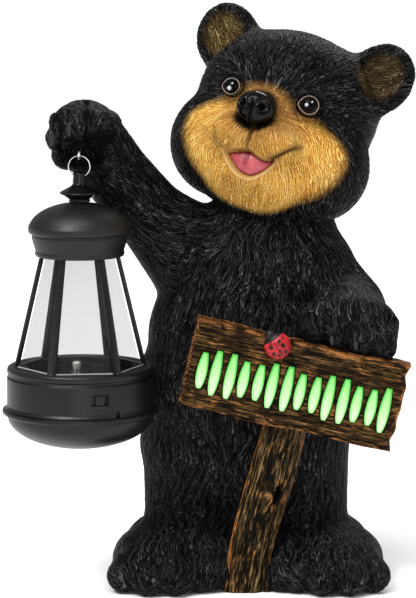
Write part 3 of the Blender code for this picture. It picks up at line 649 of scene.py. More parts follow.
def turned(name, profile, place, segments=112):
    """A mesh turned about Z from (radius, height) in millimetres."""
    bm = bmesh.new()
    points = [bm.verts.new((radius, 0, height)) for radius, height in profile]
    edges = [bm.edges.new(pair) for pair in zip(points, points[1:])]
    if profile[0][0] > 0 or profile[-1][0] > 0:
        edges.append(bm.edges.new((points[-1], points[0])))
    spun(bm, points + edges, (0, 0, 1), segments)
    return mesh_of(bm, name, place @ Matrix.Scale(MM, 4))


def rounded(profile, radius, steps=4):
    """A profile with its inner corners rounded off."""
    made = [profile[0]]
    for before, here, after in zip(profile, profile[1:], profile[2:]):
        here = Vector(here)
        back, on = Vector(before) - here, Vector(after) - here
        reach = min(radius, back.length * 0.45, on.length * 0.45)
        if back.normalized().dot(on.normalized()) < -0.97 or reach < 0.02:
            made.append(tuple(here))
            continue
        start, end = here + back.normalized() * reach, here + on.normalized() * reach
        for step in range(steps + 1):
            share = step / steps
            bent = start * (1 - share) ** 2 + here * 2 * share * (1 - share) + end * share ** 2
            made.append(tuple(bent))
    return made + [profile[-1]]


def arc(centre, radii, start, end, steps):
    angles = [math.radians(start + (end - start) * step / steps) for step in range(steps + 1)]
    return [(centre[0] + radii[0] * math.cos(a), centre[1] + radii[1] * math.sin(a)) for a in angles]


# Bear's forms

def ball(bm, centre, radii, base=None, lean=0.0):
    """An ellipsoid on the bear, leant sideways about its centre."""
    turn = Matrix.Rotation(lean, 4, "Y")
    place = Matrix.Translation(centre) @ turn @ Matrix.Diagonal((*radii, 1))
    bmesh.ops.create_icosphere(bm, subdivisions=3, radius=1.0, matrix=(base or on_bear()) @ place)


def limb(bm, joints, steps=7):
    """Balls along joints, each a place and a radius."""
    for start, end in zip(joints, joints[1:]):
        for step in range(steps + 1):
            x, y, z, radius = (a + (b - a) * step / steps for a, b in zip(start, end))
            ball(bm, (x, y, z), (radius,) * 3)


def on_bear():
    return Matrix.Translation(ORIGIN) @ Matrix.Scale(MM, 4)


def on_head():
    """The head's own millimetres, its nose along -Y."""
    tilt = Matrix.Rotation(HEAD_TILT, 4, "Y")
    turn = Matrix.Rotation(HEAD_TURN, 4, "Z")
    lift = Matrix.Rotation(HEAD_LIFT, 4, "X")
    return Matrix.Translation(at(*HEAD_MIDDLE)) @ tilt @ turn @ lift @ Matrix.Scale(MM, 4)


def from_head(places):
    """Places in the model's frame, in the head's own millimetres."""
    back = np.array(on_head().inverted())
    return places @ back[:3, :3].T + back[:3, 3]


def head_forms():
    head = on_head()
    bm = bmesh.new()
    ball(bm, (0, 7, 16), (63, 56, 52), head)
    ball(bm, (0, -14, -34), (47, 39, 31), head)
    ball(bm, (0, -40, -14), (34, 25, 23), head)
    ball(bm, (0, -44, -38), (23, 14, 10), head)
    for side in (-1, 1):
        ball(bm, (side * 21, 6, 32), (34, 35, 32), head)
        ball(bm, (side * 31.5, -5, -19), (38, 43, 38.5), head)
        ball(bm, (side * 55, 13, 50), (24, 12, 27), head, side * EAR_LEAN)
    mass = skin_of(mesh_of(bm, "head_mass"), MASS_VOXEL, 12)
    bm = bmesh.new()
    bm.from_mesh(mass)
    ball(bm, (0, -44, 6), (15, 24, 12), head)
    for side in (-1, 1):
        ball(bm, (side * 12.5, -55, -13), (17, 13, 12), head)
        ball(bm, (side * 26, -44.5, 17.0), (9.5, 6, 10), head)
    formed = skin_of(mesh_of(bm, "head_formed"), FORM_VOXEL * 0.8, 7)
    return skin_of(formed, HEAD_VOXEL, 2)


def leg(side):
    """How far to the right of the bear's middle the hip and the foot are."""
    return 26 + side * 38, 27 + side * 58


def body_forms():
    paw = Vector(RAISED_PAW)
    bm = bmesh.new()
    ball(bm, (25, 3, 90), (73, 54, 58))
    ball(bm, (26, 1, 128), (76, 58, 62))
    ball(bm, (31, 1, 165), (73, 57, 60))
    ball(bm, (37, 2, 200), (66, 52, 56))
    ball(bm, (41, 2, 232), (47, 43, 40))
    for side in (-1, 1):
        hip, foot = leg(side)
        limb(bm, [(hip, 4, 78, 33), (hip, 2, 30, 32)])
        ball(bm, (foot, -22, 14), (35, 50, 25))
        ball(bm, (foot - side * 4, 18, 14), (32, 31, 25))
    wrist = (paw.x + 23, paw.y + 35, 275, 23.5)
    limb(bm, [(4, 2, 205, 39), (-37, -12, 245, 25), wrist, (paw.x + 8, paw.y + 19, 299, 23)])
    ball(bm, (paw.x + 3, paw.y + 8, 307), (23.5, 24, 20.5))
    ball(bm, (paw.x - 9.5, paw.y + 13, 289.5), (11.5, 11, 11.5))
    limb(bm, [(62, 2, 207, 34), (91, -13, 181, 30), (95, -44, 178, 25)])
    ball(bm, (95, -58, 182), (30, 22, 18))
    mass = skin_of(mesh_of(bm, "body_mass"), MASS_VOXEL, 12)
    bm = bmesh.new()
    bm.from_mesh(mass)
    for side in (-1, 1):
        foot = leg(side)[1]
        for spread, reach in ((-26, -60), (-9.5, -69), (8.5, -69), (25, -60)):
            inner = spread * -side
            limb(bm, [(foot - inner * 0.7, -44, 18, 13), (foot - inner, reach, 11.5, 12)], 3)
    limb(bm, [(-4, -36, 22, 18), (2.5, -56, 13, 13.5)], 3)
    limb(bm, [(52, -38, 22, 16), (48.5, -57, 11, 11.5)], 3)
    for aside, ahead, knuckle, tip, thick in (
        (-14, 5, 302, 293, 8.8), (-9, 14, 312, 300, 11), (4, 18, 314, 303, 11), (18, 13, 311, 305, 11),
    ):
        x, y = paw.x + aside, paw.y - ahead
        limb(bm, [(x, y + 4, knuckle, thick), (x, y - 3, tip + 7, thick * 0.82)], 3)
    for k in range(4):
        x, fall = 69 + k * 15.5, k * 3.0
        limb(bm, [(x, -62, 186 - fall * 0.7, 10.5), (x - 1, -76, 178 - fall - 2.5 * (k > 1), 9)], 3)
    formed = skin_of(mesh_of(bm, "body_formed"), FORM_VOXEL, 5)
    palm = bmesh.new()
    ball(palm, (paw.x + 3, paw.y, 291), (15, 13, 8))
    formed = without(formed, mesh_of(palm, "palm_room"))
    bm = bmesh.new()
    bm.from_mesh(formed)
    cut_flat(bm, (0, 0, 0.0004), (0, 0, 1))
    return skin_of(mesh_of(bm, "body_cut"), BODY_VOXEL, 2)


# Fur

def unit(ways):
    return ways / np.maximum(np.sqrt((ways * ways).sum(1, keepdims=True)), 1e-9)


def laid_flat(ways, facing):
    """Directions laid along the surface."""
    return unit(ways - facing * (ways * facing).sum(1, keepdims=True))


def swirled(ways, facing, places, amount):
    """Turns each direction a little, in slow waves over the surface."""
    x, y, z = (places / MM).T
    waves = np.sin(x * 0.11 + z * 0.07 + 1.3) + np.sin(z * 0.16 - x * 0.05 + y * 0.09)
    waves += 0.7 * np.sin(y * 0.21 + x * 0.13 + z * 0.19 + 2.1) + 0.5 * np.sin(x * 0.33 - z * 0.29)
    turn = (amount * waves / 2.4)[:, None]
    return laid_flat(ways * np.cos(turn) + np.cross(facing, ways) * np.sin(turn), facing)


def scattered(places, spacing, seed):
    """Indices of places that lie at least a spacing apart."""
    order = list(range(len(places)))
    random.Random(seed).shuffle(order)
    cells = {}
    chosen = []
    keys = np.floor(places / spacing).astype(int)
    for index in order:
        a, b, c = keys[index]
        here = places[index]
        near = (
            other
            for i in (-1, 0, 1) for j in (-1, 0, 1) for k in (-1, 0, 1)
            for other in cells.get((a + i, b + j, c + k), ())
        )
        if all(((places[other] - here) ** 2).sum() >= spacing * spacing for other in near):
            cells.setdefault((a, b, c), []).append(index)
            chosen.append(index)
    return np.array(chosen)


def tufted(mesh, flow, spacing, long, wide, seed):
    """Height from 0 to 1 of overlapping tufts that lie along the flow, tips above roots."""
    places = corners(mesh) / MM
    facing = normals(mesh)
    roots = scattered(places, spacing, seed)
    tree = kdtree.KDTree(len(roots))
    for k, index in enumerate(roots):
        tree.insert(places[index], k)
    tree.balance()
    found = np.array([[hit[1] for hit in tree.find_n(place, TUFTS_NEAR)] for place in places])
    luck = np.random.default_rng(seed)
    turn = luck.normal(0, 0.14, len(roots))[:, None]
    ahead = flow[roots] * np.cos(turn) + np.cross(facing[roots], flow[roots]) * np.sin(turn)
    aside = np.cross(facing[roots], ahead)
    size = luck.uniform(0.75, 1.25, len(roots))
    rise = luck.uniform(0.70, 1.0, len(roots))
    gap = places[:, None, :] - places[roots][found]
    along = (gap * ahead[found]).sum(2) / (long * size[found]) + 0.42
    across = (gap * aside[found]).sum(2) / (wide * size[found] / 2)
    taper = 1.0 - 0.75 * np.clip(along, 0, 1) ** 2.2
    belly = np.clip(1 - (across / taper) ** 2, 0, 1) ** 0.6
    ramp = np.clip(along, 0, 1) ** 0.7 * (1 - eased(along, 0.86, 1.02))
    return (ramp * belly * rise[found]).max(1)


# Points of the face, in the head's millimetres or degrees from its middle
TAN_OUTLINE = (
    (-53, -4), (-48, 6), (-38, 12), (-24, 17.5), (-16, 27), (3, 28.5), (16, 23.5), (24, 15),
    (39, 13.8), (50, 7.6), (58.5, -0.5), (60, -8.3), (56, -19.6), (48.5, -33.6), (30.4, -52.8),
    (4.9, -57), (-28, -51), (-41, -38.8), (-47, -25.6), (-51.5, -14),
)
MOUTH_OUTLINE = (
    (-14.8, -26.8), (-8.5, -24.4), (-3.2, -22.8), (0.8, -22.3), (6.6, -24.8), (11.5, -25.6),
    (17.0, -23.4), (15.8, -27.4), (9.8, -34.2), (4.6, -37.9), (-2.8, -37.0), (-10.9, -31.2),
)
SMILE_RIGHT = ((15, -24.2), (20, -20.8), (25, -16.4), (29.5, -12.0), (33.5, -9.0))
LOWER_LIP = (
    (-38.6, -14.9), (-32.0, -18.6), (-25.6, -22.2), (-19.6, -26.2), (-16.4, -29.6), (-13.0, -33.2),
    (-8.4, -37.2), (-2.5, -40.0), (4.6, -40.4), (11.4, -35.4), (16.0, -29.4), (20.3, -24.2),
    (26.4, -18.2), (33, -11.0),
)


def smooth_line(points, steps=6):
    """The points with a smooth curve run through them."""
    points = np.asarray(points, float)
    run = np.vstack([2 * points[0] - points[1], points, 2 * points[-1] - points[-2]])
    made = []
    for a, b, c, d in zip(run, run[1:], run[2:], run[3:]):
        for step in range(steps):
            t = step / steps
            bend = (2 * a - 5 * b + 4 * c - d) * t * t + (3 * b - a - 3 * c + d) * t ** 3
            made.append(0.5 * (2 * b + (c - a) * t + bend))
    return np.vstack([made, points[-1:]])


def head_flow(local, facing):
    """Strands run out from the nose, then down the cheeks and the back."""
    away = local - np.array(STRANDS_START)
    reach = np.sqrt((away ** 2).sum(1))
    away = unit(away)
    low = 1 - eased(local[:, 2], -8, 26)
    back = eased(local[:, 1], 0, 40)
    fall = eased(reach, 16, 46) * np.maximum(low * 0.62, back)
    down = unit(np.array([[0, 0.25, -1.0]]))
    return laid_flat(away * (1 - fall[:, None]) + down * fall[:, None], facing)


def on_ear(places, side, wide, tall):
    """Places across and up an ear as shares of its half sizes, and how far behind its middle."""
    off = places - np.array((side * EAR_MIDDLE[0], *EAR_MIDDLE[1:]))
    lean = side * EAR_LEAN
    u = (off[:, 0] * math.cos(lean) - off[:, 2] * math.sin(lean)) / wide
    w = (off[:, 0] * math.sin(lean) + off[:, 2] * math.cos(lean)) / tall
    return u, w, off[:, 1]


def bear_head(fur):
    """The head's skin, with the face cut into it and its paint kept on the corners."""
    mesh = head_forms()
    places = corners(mesh)
    facing = normals(mesh)
    local = from_head(places)
    turn = np.array(on_head().to_3x3().normalized())
    x, y, z = local.T
    front = eased(-y, 20, 34)
    flat = local[:, [0, 2]]

    mouth = inside_depth(flat, smooth_line(MOUTH_OUTLINE))
    opened = eased(mouth, -0.2, 1.4) * front
    right_smile = line_distance(flat, smooth_line(SMILE_RIGHT))
    lip_gap = line_distance(flat, smooth_line(LOWER_LIP))
    left_fold = bell(lip_gap - 0.9, 0.9) * front * eased(x, -41, -36) * (1 - eased(x, -22, -17))
    cut_right = bell(right_smile, 1.35) * front * (1 - eased(x, 27, 34.5))
    ends = eased(x, -42, -24) * (1 - eased(x, 13, 27))
    thick = 0.50 + 0.40 * eased(x, -24, -12) * (1 - eased(x, 12, 22))
    rim = bell(lip_gap, thick, 4) * front * ends
    band = (1 - eased(-mouth, 2.2, 3.2)) * (z < -24) * front
    lip = np.maximum(rim, band * 0.9) * (1 - opened)
    philtrum = line_distance(flat, ((-0.4, -6), (-1.0, -15), (-1.2, -21)))
    groove = bell(philtrum, 1.15) * front
    sockets = np.minimum(
        np.sqrt(((x + 26.2) / 7.6) ** 2 + ((z - 16.4) / 7.2) ** 2),
        np.sqrt(((x - 27.4) / 8.0) ** 2 + ((z - 16.6) / 7.2) ** 2),
    )
    hollow = (1 - eased(sockets, 0.78, 1.02)) * front
    lid = bell(sockets - 1.14, 0.14) * front

    depth = -0.5 * left_fold - 2.4 * cut_right + 0.6 * rim - 1.0 * groove
    depth += -2.4 * hollow + 0.45 * lid
    depth -= 2.2 * np.exp(-(((x + 1) / 8) ** 2) - ((z - 34) / 9) ** 2) * front
    depth += 1.4 * np.exp(-(((np.abs(x) - 21) / 10) ** 2) - ((z - 31) / 6) ** 2) * front
    moved = local.copy()
    moved[:, 1] -= depth
    moved[:, 1] += (-50.5 - moved[:, 1]) * opened

    for side in (-1, 1):
        u, w, behind = on_ear(moved, side, 17, 20)
        v = behind / EAR_HOLLOW
        within = u * u + w * w + v * v < 1
        cup = EAR_MIDDLE[1] + EAR_HOLLOW * np.sqrt(np.clip(1 - u * u - w * w, 0, 1))
        moved[within, 1] = cup[within]
    ear = np.zeros(len(local))
    for side in (-1, 1):
        u, w, behind = on_ear(local, side, 15.5, 18.5)
        cup = (1 - eased(np.sqrt(u * u + w * w), 0.62, 1.05)) * (behind < 9)
        ear = np.maximum(ear, cup * eased(behind, -17, -11))

    to_model = np.array(on_head())
    move_corners(mesh, moved @ to_model[:3, :3].T + to_model[:3, 3])
    mesh = with_modifiers(mesh, ("SMOOTH", {"factor": 0.5, "iterations": 2}))
    places, facing = corners(mesh), normals(mesh)

    flow = head_flow(local, facing @ turn) @ turn.T
    flow = swirled(flow, facing, places, 0.16)
    azimuth = np.degrees(np.arctan2(x, -y))
    rise = np.degrees(np.arctan2(z + 5, np.hypot(x, y)))
    tan_depth = inside_depth(np.stack([azimuth, rise], 1), smooth_line(TAN_OUTLINE))
    tan = np.clip(0.5 + tan_depth / 13, 0, 1)
    # A soft ring of black paint round the nose, and a dark dab below it.
    nose_gap = np.sqrt(((x + 3.2) / 13.2) ** 2 + ((z - 4.4) / 12.8) ** 2)
    shade = (1 - eased(nose_gap, 0.86, 1.42)) * front
    under = line_distance(flat, ((-0.6, -5), (-1.0, -9)))
    shade = np.maximum(shade, (1 - eased(under, 0.5, 4.2)) * front * 0.9)
    # Painted shade in the face's creases, darker than the fur round them.
    crease = np.maximum(cut_right, 0.30 * left_fold * (1 - rim))
    crease = np.maximum(crease, groove * 0.85)
    crease = np.maximum(crease, bell(mouth, 0.8) * front * (0.35 + 0.35 * (z > -28)))
    muzzle = (1 - eased(np.hypot(x / 1.1, (z - 6) / 1.1), 15, 33)) * front * 0.95
    # Painted shade along the edge of each eye socket.
    shade = np.maximum(shade, bell(sockets - 1.02, 0.16) * front * 0.9)

    tufts = tufted(mesh, flow, 2.6, 8.5, 2.6, 3)
    quiet = 1 - 0.9 * np.clip(lip + opened + cut_right + hollow, 0, 1)
    inside = np.clip(tan_depth / 4, 0, 1)
    deep = (0.62 - 0.46 * inside) * quiet
    move_corners(mesh, places + facing * ((tufts - 1) * deep * MM)[:, None])
    ear = ear * np.where(x < 0, 1.0, 0.55)
    keep(
        mesh, tan=tan, ear=ear, shade=shade, crease=crease, lip=lip * 0.9, rim=rim, muzzle=muzzle,
        lock=tufts, flow=flow,
    )
    return finished("bear_head", thinned(mesh), fur, ("bear",), sharp=0)


def body_flow(places, facing):
    """Fur runs down the trunk and the legs, and along each arm to its paw."""
    local = (places - np.array(ORIGIN)) / MM
    paw = Vector(RAISED_PAW)
    runs = [
        ((40, -30, 262), (26, -30, 60), 52),
        ((36, 40, 262), (26, 40, 60), 52),
        ((4, 2, 205), (-37, -12, 245), 33),
        ((-37, -12, 245), (paw.x + 23, paw.y + 35, 275), 24),
        ((paw.x + 23, paw.y + 35, 275), (paw.x + 8, paw.y + 12, 312), 22),
        ((paw.x + 1, paw.y - 2, 318), (paw.x + 1, paw.y - 22, 292), 13),
        ((66, 2, 222), (96, -13, 186), 32),
        ((96, -13, 186), (95, -58, 184), 26),
        ((92, -60, 190), (90, -84, 168), 15),
    ]
    for side in (-1, 1):
        hip, foot = leg(side)
        runs.append(((hip, 4, 110), (hip + side * 8, 0, 34), 33))
        runs.append(((hip + side * 12, 0, 34), (foot, -46, 26), 22))
        runs.append(((foot, -46, 28), (foot, -84, 2), 20))
    total = np.zeros_like(local)
    for start, end, radius in runs:
        start, end = np.array(start, float), np.array(end, float)
        way = end - start
        share = np.clip((local - start) @ way / (way @ way), 0, 1)
        gap = local - start - share[:, None] * way
        away = np.maximum(np.sqrt((gap * gap).sum(1)) - radius, 0) + 5
        total += (way / np.sqrt(way @ way)) / (away ** 3)[:, None]
    total = unit(total)
    chest = np.array((44, -40, 262.0))
    spread = local - chest
    spread[:, 1] = 0
    chestward = bell(np.sqrt((spread ** 2).sum(1)), 95) * (local[:, 1] < 0) * (local[:, 0] > -30)
    chestward = (chestward * (local[:, 2] < 262) * 0.7)[:, None]
    total = total * (1 - chestward) + unit(spread) * chestward
    return laid_flat(total, facing)


# Lines between the raised paw's fingers, and each claw's place across and up, width and height
PAW_SEAMS = (((-15, 322), (-10.5, 310), (-11.5, 288)), ((4, 330), (6.5, 316), (7.0, 296)))
CLAWS = (
    (LANTERN_PLACE[0] - 5.0, 309.0, 2.5, 4.6), (LANTERN_PLACE[0] - 16.0, 303.0, 2.3, 4.2),
    (80.0, 172.5, 2.1, 3.2), (95.5, 169.0, 2.0, 3.0),
)


def bear_body(fur):
    """The trunk, limbs and paws, with carved fur and seams between the raised paw's fingers."""
    mesh = body_forms()
    places, facing = corners(mesh), normals(mesh)
    flow = swirled(body_flow(places, facing), facing, places, 0.42)
    local = (places - np.array(ORIGIN)) / MM
    aside = local[:, [0, 2]] - np.array((LANTERN_PLACE[0], 0))
    raised = (local[:, 1] < LANTERN_PLACE[1] + 4) * (local[:, 0] < -50) * (local[:, 2] > 280)
    # The seams between the fingers and the palm's downward-facing side are painted darker, as painted
    # shade.
    seam = sum(bell(line_distance(aside, line), 1.5) for line in PAW_SEAMS) * raised
    palm = eased(-facing[:, 2], 0.15, 0.7) * (local[:, 0] < -50) * (local[:, 2] > 280)
    tufts = tufted(mesh, flow, 3.6, 13.0, 3.6, 7)
    sole = eased(places[:, 2] / MM, 0.8, 3.0)
    lowered = ((tufts - 1) * 0.6 * sole - seam * 2.0) * MM
    move_corners(mesh, places + facing * lowered[:, None])
    keep(mesh, lock=tufts, shade=np.clip(seam * 0.9 + palm * 0.8, 0, 1), flow=flow)
    claws(local)
    return finished("bear_body", thinned(mesh), fur, ("bear",), sharp=0)


def claws(local):
    """Short smooth claws that lie on the fingers' fronts, where the skin's corners put them."""
    horn = black_finish("claw_horn", 0.34, 0.010, 0.1)
    for k, (x, z, wide, tall) in enumerate(CLAWS):
        near = (np.abs(local[:, 0] - x) < 1.5) & (np.abs(local[:, 2] - z) < 1.5)
        front = local[near, 1].min()
        bm = bmesh.new()
        bmesh.ops.create_uvsphere(bm, u_segments=32, v_segments=24, radius=1.0)
        for vert in bm.verts:
            slim = 1 - 0.45 * (1 - vert.co.z) / 2
            ahead = vert.co.y * wide * 0.8 * slim - 0.9 * vert.co.z ** 2
            vert.co = (vert.co.x * wide * slim, ahead, vert.co.z * tall)
        place = Matrix.Translation((x, front + 0.6, z)) @ Matrix.Rotation(math.radians(-8), 4, "X")
        mesh = mesh_of(bm, f"claw_{k + 1}", on_bear() @ place)
        finished(f"claw_{k + 1}", mesh, horn)


def wire_circle(bm, thick, place, axis, sides, steps):
    """A ring of round wire about the axis."""
    circle = bmesh.ops.create_circle(bm, segments=sides, radius=thick, matrix=place)["verts"]
    edges = list({edge for vert in circle for edge in vert.link_edges})
    spun(bm, circle + edges, axis, steps)


def eyes():
    """Glass eyes in their sockets, each in a thin pale almond rim."""
    glass, rims = eye_finish(), eye_rim_finish()
    for side, name, corner, glints in (
        (-1, "left", math.radians(195), (((-0.2, -2.0), 1.5), ((0.9, 1.6), 0.6))),
        (1, "right", math.radians(190), (((-1.9, -0.8), 1.15), ((0.9, 1.9), 0.6))),
    ):
        bm = bmesh.new()
        bmesh.ops.create_uvsphere(bm, u_segments=64, v_segments=32, radius=1.0)
        middle = np.array((side * 26.5 + 0.4, -46.0, 15.9 + side * 0.6))
        tip = Vector((0.11 + side * 0.19, -1, 0.14)).normalized()
        look = Matrix.Translation(middle) @ tip.to_track_quat("Z", "Y").to_matrix().to_4x4()
        radius = EYE_RADIUS + side * 0.3
        globe = Matrix.Diagonal((radius, radius, radius, 1))
        mesh = mesh_of(bm, f"eye_{name}", on_head() @ look @ globe)
        local = from_head(corners(mesh)) - middle
        facing = local @ np.array(tip) / radius
        seen = (local - np.array(tip) * radius)[:, [0, 2]]
        glint = np.zeros(len(local))
        for spot, size in glints:
            glint = np.maximum(glint, 1 - eased(np.hypot(*(seen - spot).T), size * 0.7, size * 1.1))
        keep(mesh, rim=np.sqrt(np.clip(1 - facing ** 2, 0, 1)), glint=glint * (facing > 0))
        finished(f"eye_{name}", mesh, glass, ("bear",))
        bm = bmesh.new()
        across = Matrix.Translation((6.0, 0, 0)) @ Matrix.Rotation(math.pi / 2, 4, "X")
        wire_circle(bm, 0.27, across, (0, 0, 1), 12, 80)
        for vert in bm.verts:
            angle = math.atan2(vert.co.y, vert.co.x)
            off = (angle - corner + math.pi) % math.tau - math.pi
            vert.co.x *= 1.03 + 0.17 * math.exp(-((off / 0.40) ** 2))
            vert.co.x *= 0.95 + side * 0.05
            vert.co.y *= 0.95 + side * 0.05
            vert.co.z += 2.7 - 0.8 * math.exp(-((off / 0.42) ** 2))
        mesh = mesh_of(bm, f"eye_rim_{name}", on_head() @ look)
        finished(f"eye_rim_{name}", mesh, rims, ("bear",), sharp=0)


def nose():
    """A wet nose with two curled nostrils and a ridge between them."""
    bm = bmesh.new()
    bmesh.ops.create_icosphere(bm, subdivisions=6, radius=1.0)
    mesh = mesh_of(bm, "nose", on_head() @ sized(NOSE_MIDDLE, NOSE_SIZE))
    local = from_head(corners(mesh)) - np.array(NOSE_MIDDLE)
    facing = normals(mesh)
    x, y, z = local.T
    front = eased(-y, 0, 5)
    push = np.zeros(len(local))
    for side in (-1, 1):
        u, w = (x - side * 6.4), (z - 1.0)
        gap = np.hypot(u, w)
        turn = np.arctan2(w, u * side)
        push -= 3.4 * bell(gap, 1.7, 4)
        push += 1.3 * bell(gap - 2.9, 0.65)
        curl = gap - (4.6 + 0.5 * turn)
        push -= 1.7 * bell(curl, 0.65) * eased(turn, -2.4, -1.6) * (1 - eased(turn, 1.2, 2.2))
    push -= 0.7 * bell(x - 0.6, 0.7) * (1 - eased(z, 1, 5))
    push += 1.5 * bell(np.abs(x - 0.6) - 1.35, 0.60) * (1 - eased(z, 2, 6))
    move_corners(mesh, corners(mesh) + facing * (push * front * MM)[:, None])
    finished("nose", mesh, nose_finish(), ("bear",), sharp=0)


def tongue():
    """A tongue with a groove, pushed back where it isn't in the open mouth."""
    bm = bmesh.new()
    bmesh.ops.create_icosphere(bm, subdivisions=5, radius=1.0)
    mesh = mesh_of(bm, "tongue", on_head() @ sized(TONGUE_MIDDLE, TONGUE_SIZE))
    whole = from_head(corners(mesh))
    local = whole - np.array(TONGUE_MIDDLE)
    line = line_distance(local[:, [0, 2]], ((-1.4, 8.5), (-1.8, 2.5), (-3.0, -2.5)))
    groove = bell(line, 1.1) * (local[:, 1] < 0)
    outside = 1 - eased(inside_depth(whole[:, [0, 2]], smooth_line(MOUTH_OUTLINE)), -0.9, 1.2)
    inward = np.array(on_head())[:3, 1] * outside[:, None] * 5.0 * (local[:, 1] < 0)[:, None]
    move_corners(mesh, corners(mesh) - normals(mesh) * (groove * MM)[:, None] + inward)
    keep(mesh, relief=1 - groove)
    finished("tongue", mesh, tongue_finish(), ("bear",), sharp=0)


# Sign

def on_sign():
    """The board's own millimetres, from its middle: X along it, -Y to its front."""
    lean = Matrix.Rotation(SIGN_TIP, 4, "X") @ Matrix.Rotation(SIGN_LEAN, 4, "Y")
    hanging = Matrix.Translation((0, 0, -BOARD[2] / 2 * MM))
    return Matrix.Translation(at(*GRIP_PLACE)) @ lean @ hanging @ Matrix.Scale(MM, 4)


def board_edges():
    """The board's worn outline, anticlockwise from its lower left corner, as the solid has it."""
    long_half, tall_half = BOARD[0] / 2, BOARD[2] / 2
    points = []
    for step in range(16):
        share = step / 16
        wave = NOTCH_DEPTH * 0.3 * math.sin(share * 13)
        points.append((-long_half + BOARD[0] * share, -tall_half + wave))
    for step in range(8):
        share = step / 8
        wave = NOTCH_DEPTH * (step % 2) * (0.5 + 0.5 * math.sin(share * 9))
        points.append((long_half - wave, -tall_half + BOARD[2] * share))
    for step in range(16):
        share = step / 16
        dip = NOTCH_DEPTH * (1 - abs(2 * share - 0.9)) * 0.8
        wave = NOTCH_DEPTH * 0.25 * math.sin(share * 17)
        points.append((long_half - BOARD[0] * share, tall_half - max(dip, 0) + wave))
    for step in range(8):
        share = step / 8
        wave = NOTCH_DEPTH * (step % 2) * (0.3 + 0.3 * math.cos(share * 7))
        points.append((-long_half + wave, tall_half - BOARD[2] * share))
    return points


def stroke_outline(middle, tall):
    """A stroke's outline on the board's face, as the solid has it."""
    half = []
    for step in range(13):
        share = step / 12
        swell = math.sin(math.pi * (0.08 + 0.80 * share ** 0.85)) ** 0.7
        half.append((STROKE_WIDTH / 2 * swell, tall * (share - 0.5)))
    both = half + [(-x, z) for x, z in reversed(half)]
    return [(middle + x, z - STROKE_DROP) for x, z in both]


def stroke_places():
    """Each stroke's middle along the board, and its height."""
    run = BOARD[0] - 2 * STROKE_MARGIN
    pitch = run / STROKE_PAIRS
    places = []
    for pair in range(STROKE_PAIRS):
        middle = -run / 2 + pitch * (pair + 0.5)
        for member in (-1, 1):
            tall = STROKE_TALL * (1.0 if (pair + (member > 0)) % 2 else 0.8)
            places.append((middle + member * STROKE_WIDTH * 0.65, tall))
    return places


def grain_height(along, across, seed):
    """Old wood's raised grain from 0 to 1, with cracks near 0."""
    bend = (layered(along / 34, across / 22, seed, 3) - 0.5) * 6
    lines = layered(along / 14, (across + bend) / 1.9, seed + 9, 2, 0.6)
    crack = np.abs(layered(along / 40, (across + bend) / 4.6, seed + 20, 2) - 0.5)
    crack = bell(crack, 0.022) * eased(layered(along / 12, across / 5, seed + 30, 2), 0.35, 0.6)
    return np.clip((0.35 + 0.65 * eased(lines, 0.25, 0.7)) * (1 - 0.95 * crack), 0, 1)


def slab(size, step):
    """A closed box of about square faces, centred, its front towards -Y."""
    bm = bmesh.new()
    bmesh.ops.create_cube(bm, size=1.0, matrix=Matrix.Diagonal((*size, 1)))
    for axis, length in enumerate(size):
        count = max(int(length / step), 1)
        for k in range(1, count):
            everything = list(bm.verts) + list(bm.edges) + list(bm.faces)
            way = Matrix.Identity(3)[axis]
            cut = way * (-length / 2 + length * k / count)
            bmesh.ops.bisect_plane(bm, geom=everything, plane_co=cut, plane_no=way)
    return bm


def board(wood):
    """The plank, with a worn outline, carved grain and a pocket for each stroke."""
    mesh = mesh_of(slab(BOARD, 0.9), "board")
    local = corners(mesh)
    x, y, z = local.T
    half = np.array(BOARD) / 2
    outline = np.array(board_edges())
    lower, right, upper = outline[:17], outline[16:25], outline[24:41]
    left = np.vstack([outline[40:], outline[:1]])
    low = np.interp(x, lower[:, 0], lower[:, 1])
    top = np.interp(x, upper[::-1, 0], upper[::-1, 1])
    reach = np.interp(z, right[:, 1], right[:, 0])
    back = np.interp(z, left[::-1, 1], left[::-1, 0])
    new_z = low + (z + half[2]) / BOARD[2] * (top - low)
    new_x = back + (x + half[0]) / BOARD[0] * (reach - back)
    front = (half[1] - np.abs(y)) < 0.3
    rim = np.minimum(half[0] - np.abs(x), half[2] - np.abs(z))
    soft = 1.1 * (1 - eased(rim, 0, 2.4)) * front
    height = grain_height(new_x + y * 0.3, new_z + y * 1.1 + 40, 4)
    blades = np.full(len(x), -9.0)
    for middle, tall in stroke_places():
        near = np.abs(x - middle) < 9
        depth = inside_depth(np.stack([new_x, new_z], 1)[near], stroke_outline(middle, tall))
        blades[near] = np.maximum(blades[near], depth)
    pocket = eased(blades, -0.9, 0.1) * (y < 0)
    sunk = (1 - height) * 0.8 * (1 - pocket) + soft
    new_y = y - np.sign(y) * np.where(front, sunk, 0)
    new_y = np.where(front & (y < 0), new_y + pocket * STROKE_DEPTH * 1.2, new_y)
    shrink = (1 - height) * 0.7 * ~front
    new_z = new_z - np.sign(z) * shrink * (np.abs(z) > half[2] - 0.3)
    new_x = new_x - np.sign(x) * shrink * (np.abs(x) > half[0] - 0.3)
    move_corners(mesh, np.stack([new_x, new_y, new_z], 1))
    worn = 1 - eased(rim + 2.4 * layered(new_x / 4, new_z / 4, 77, 2), 0.8, 3.6)
    worn = worn * (1 - pocket) * np.where(front, 1, 0.4)
    grain = np.stack([new_x, new_z, new_y * 1.5], 1)
    keep(mesh, relief=height * (1 - pocket * 0.8), worn=worn, grain=grain)
    mesh.transform(on_sign())
    finished("board", mesh, wood, ("sign_board",), sharp=0)


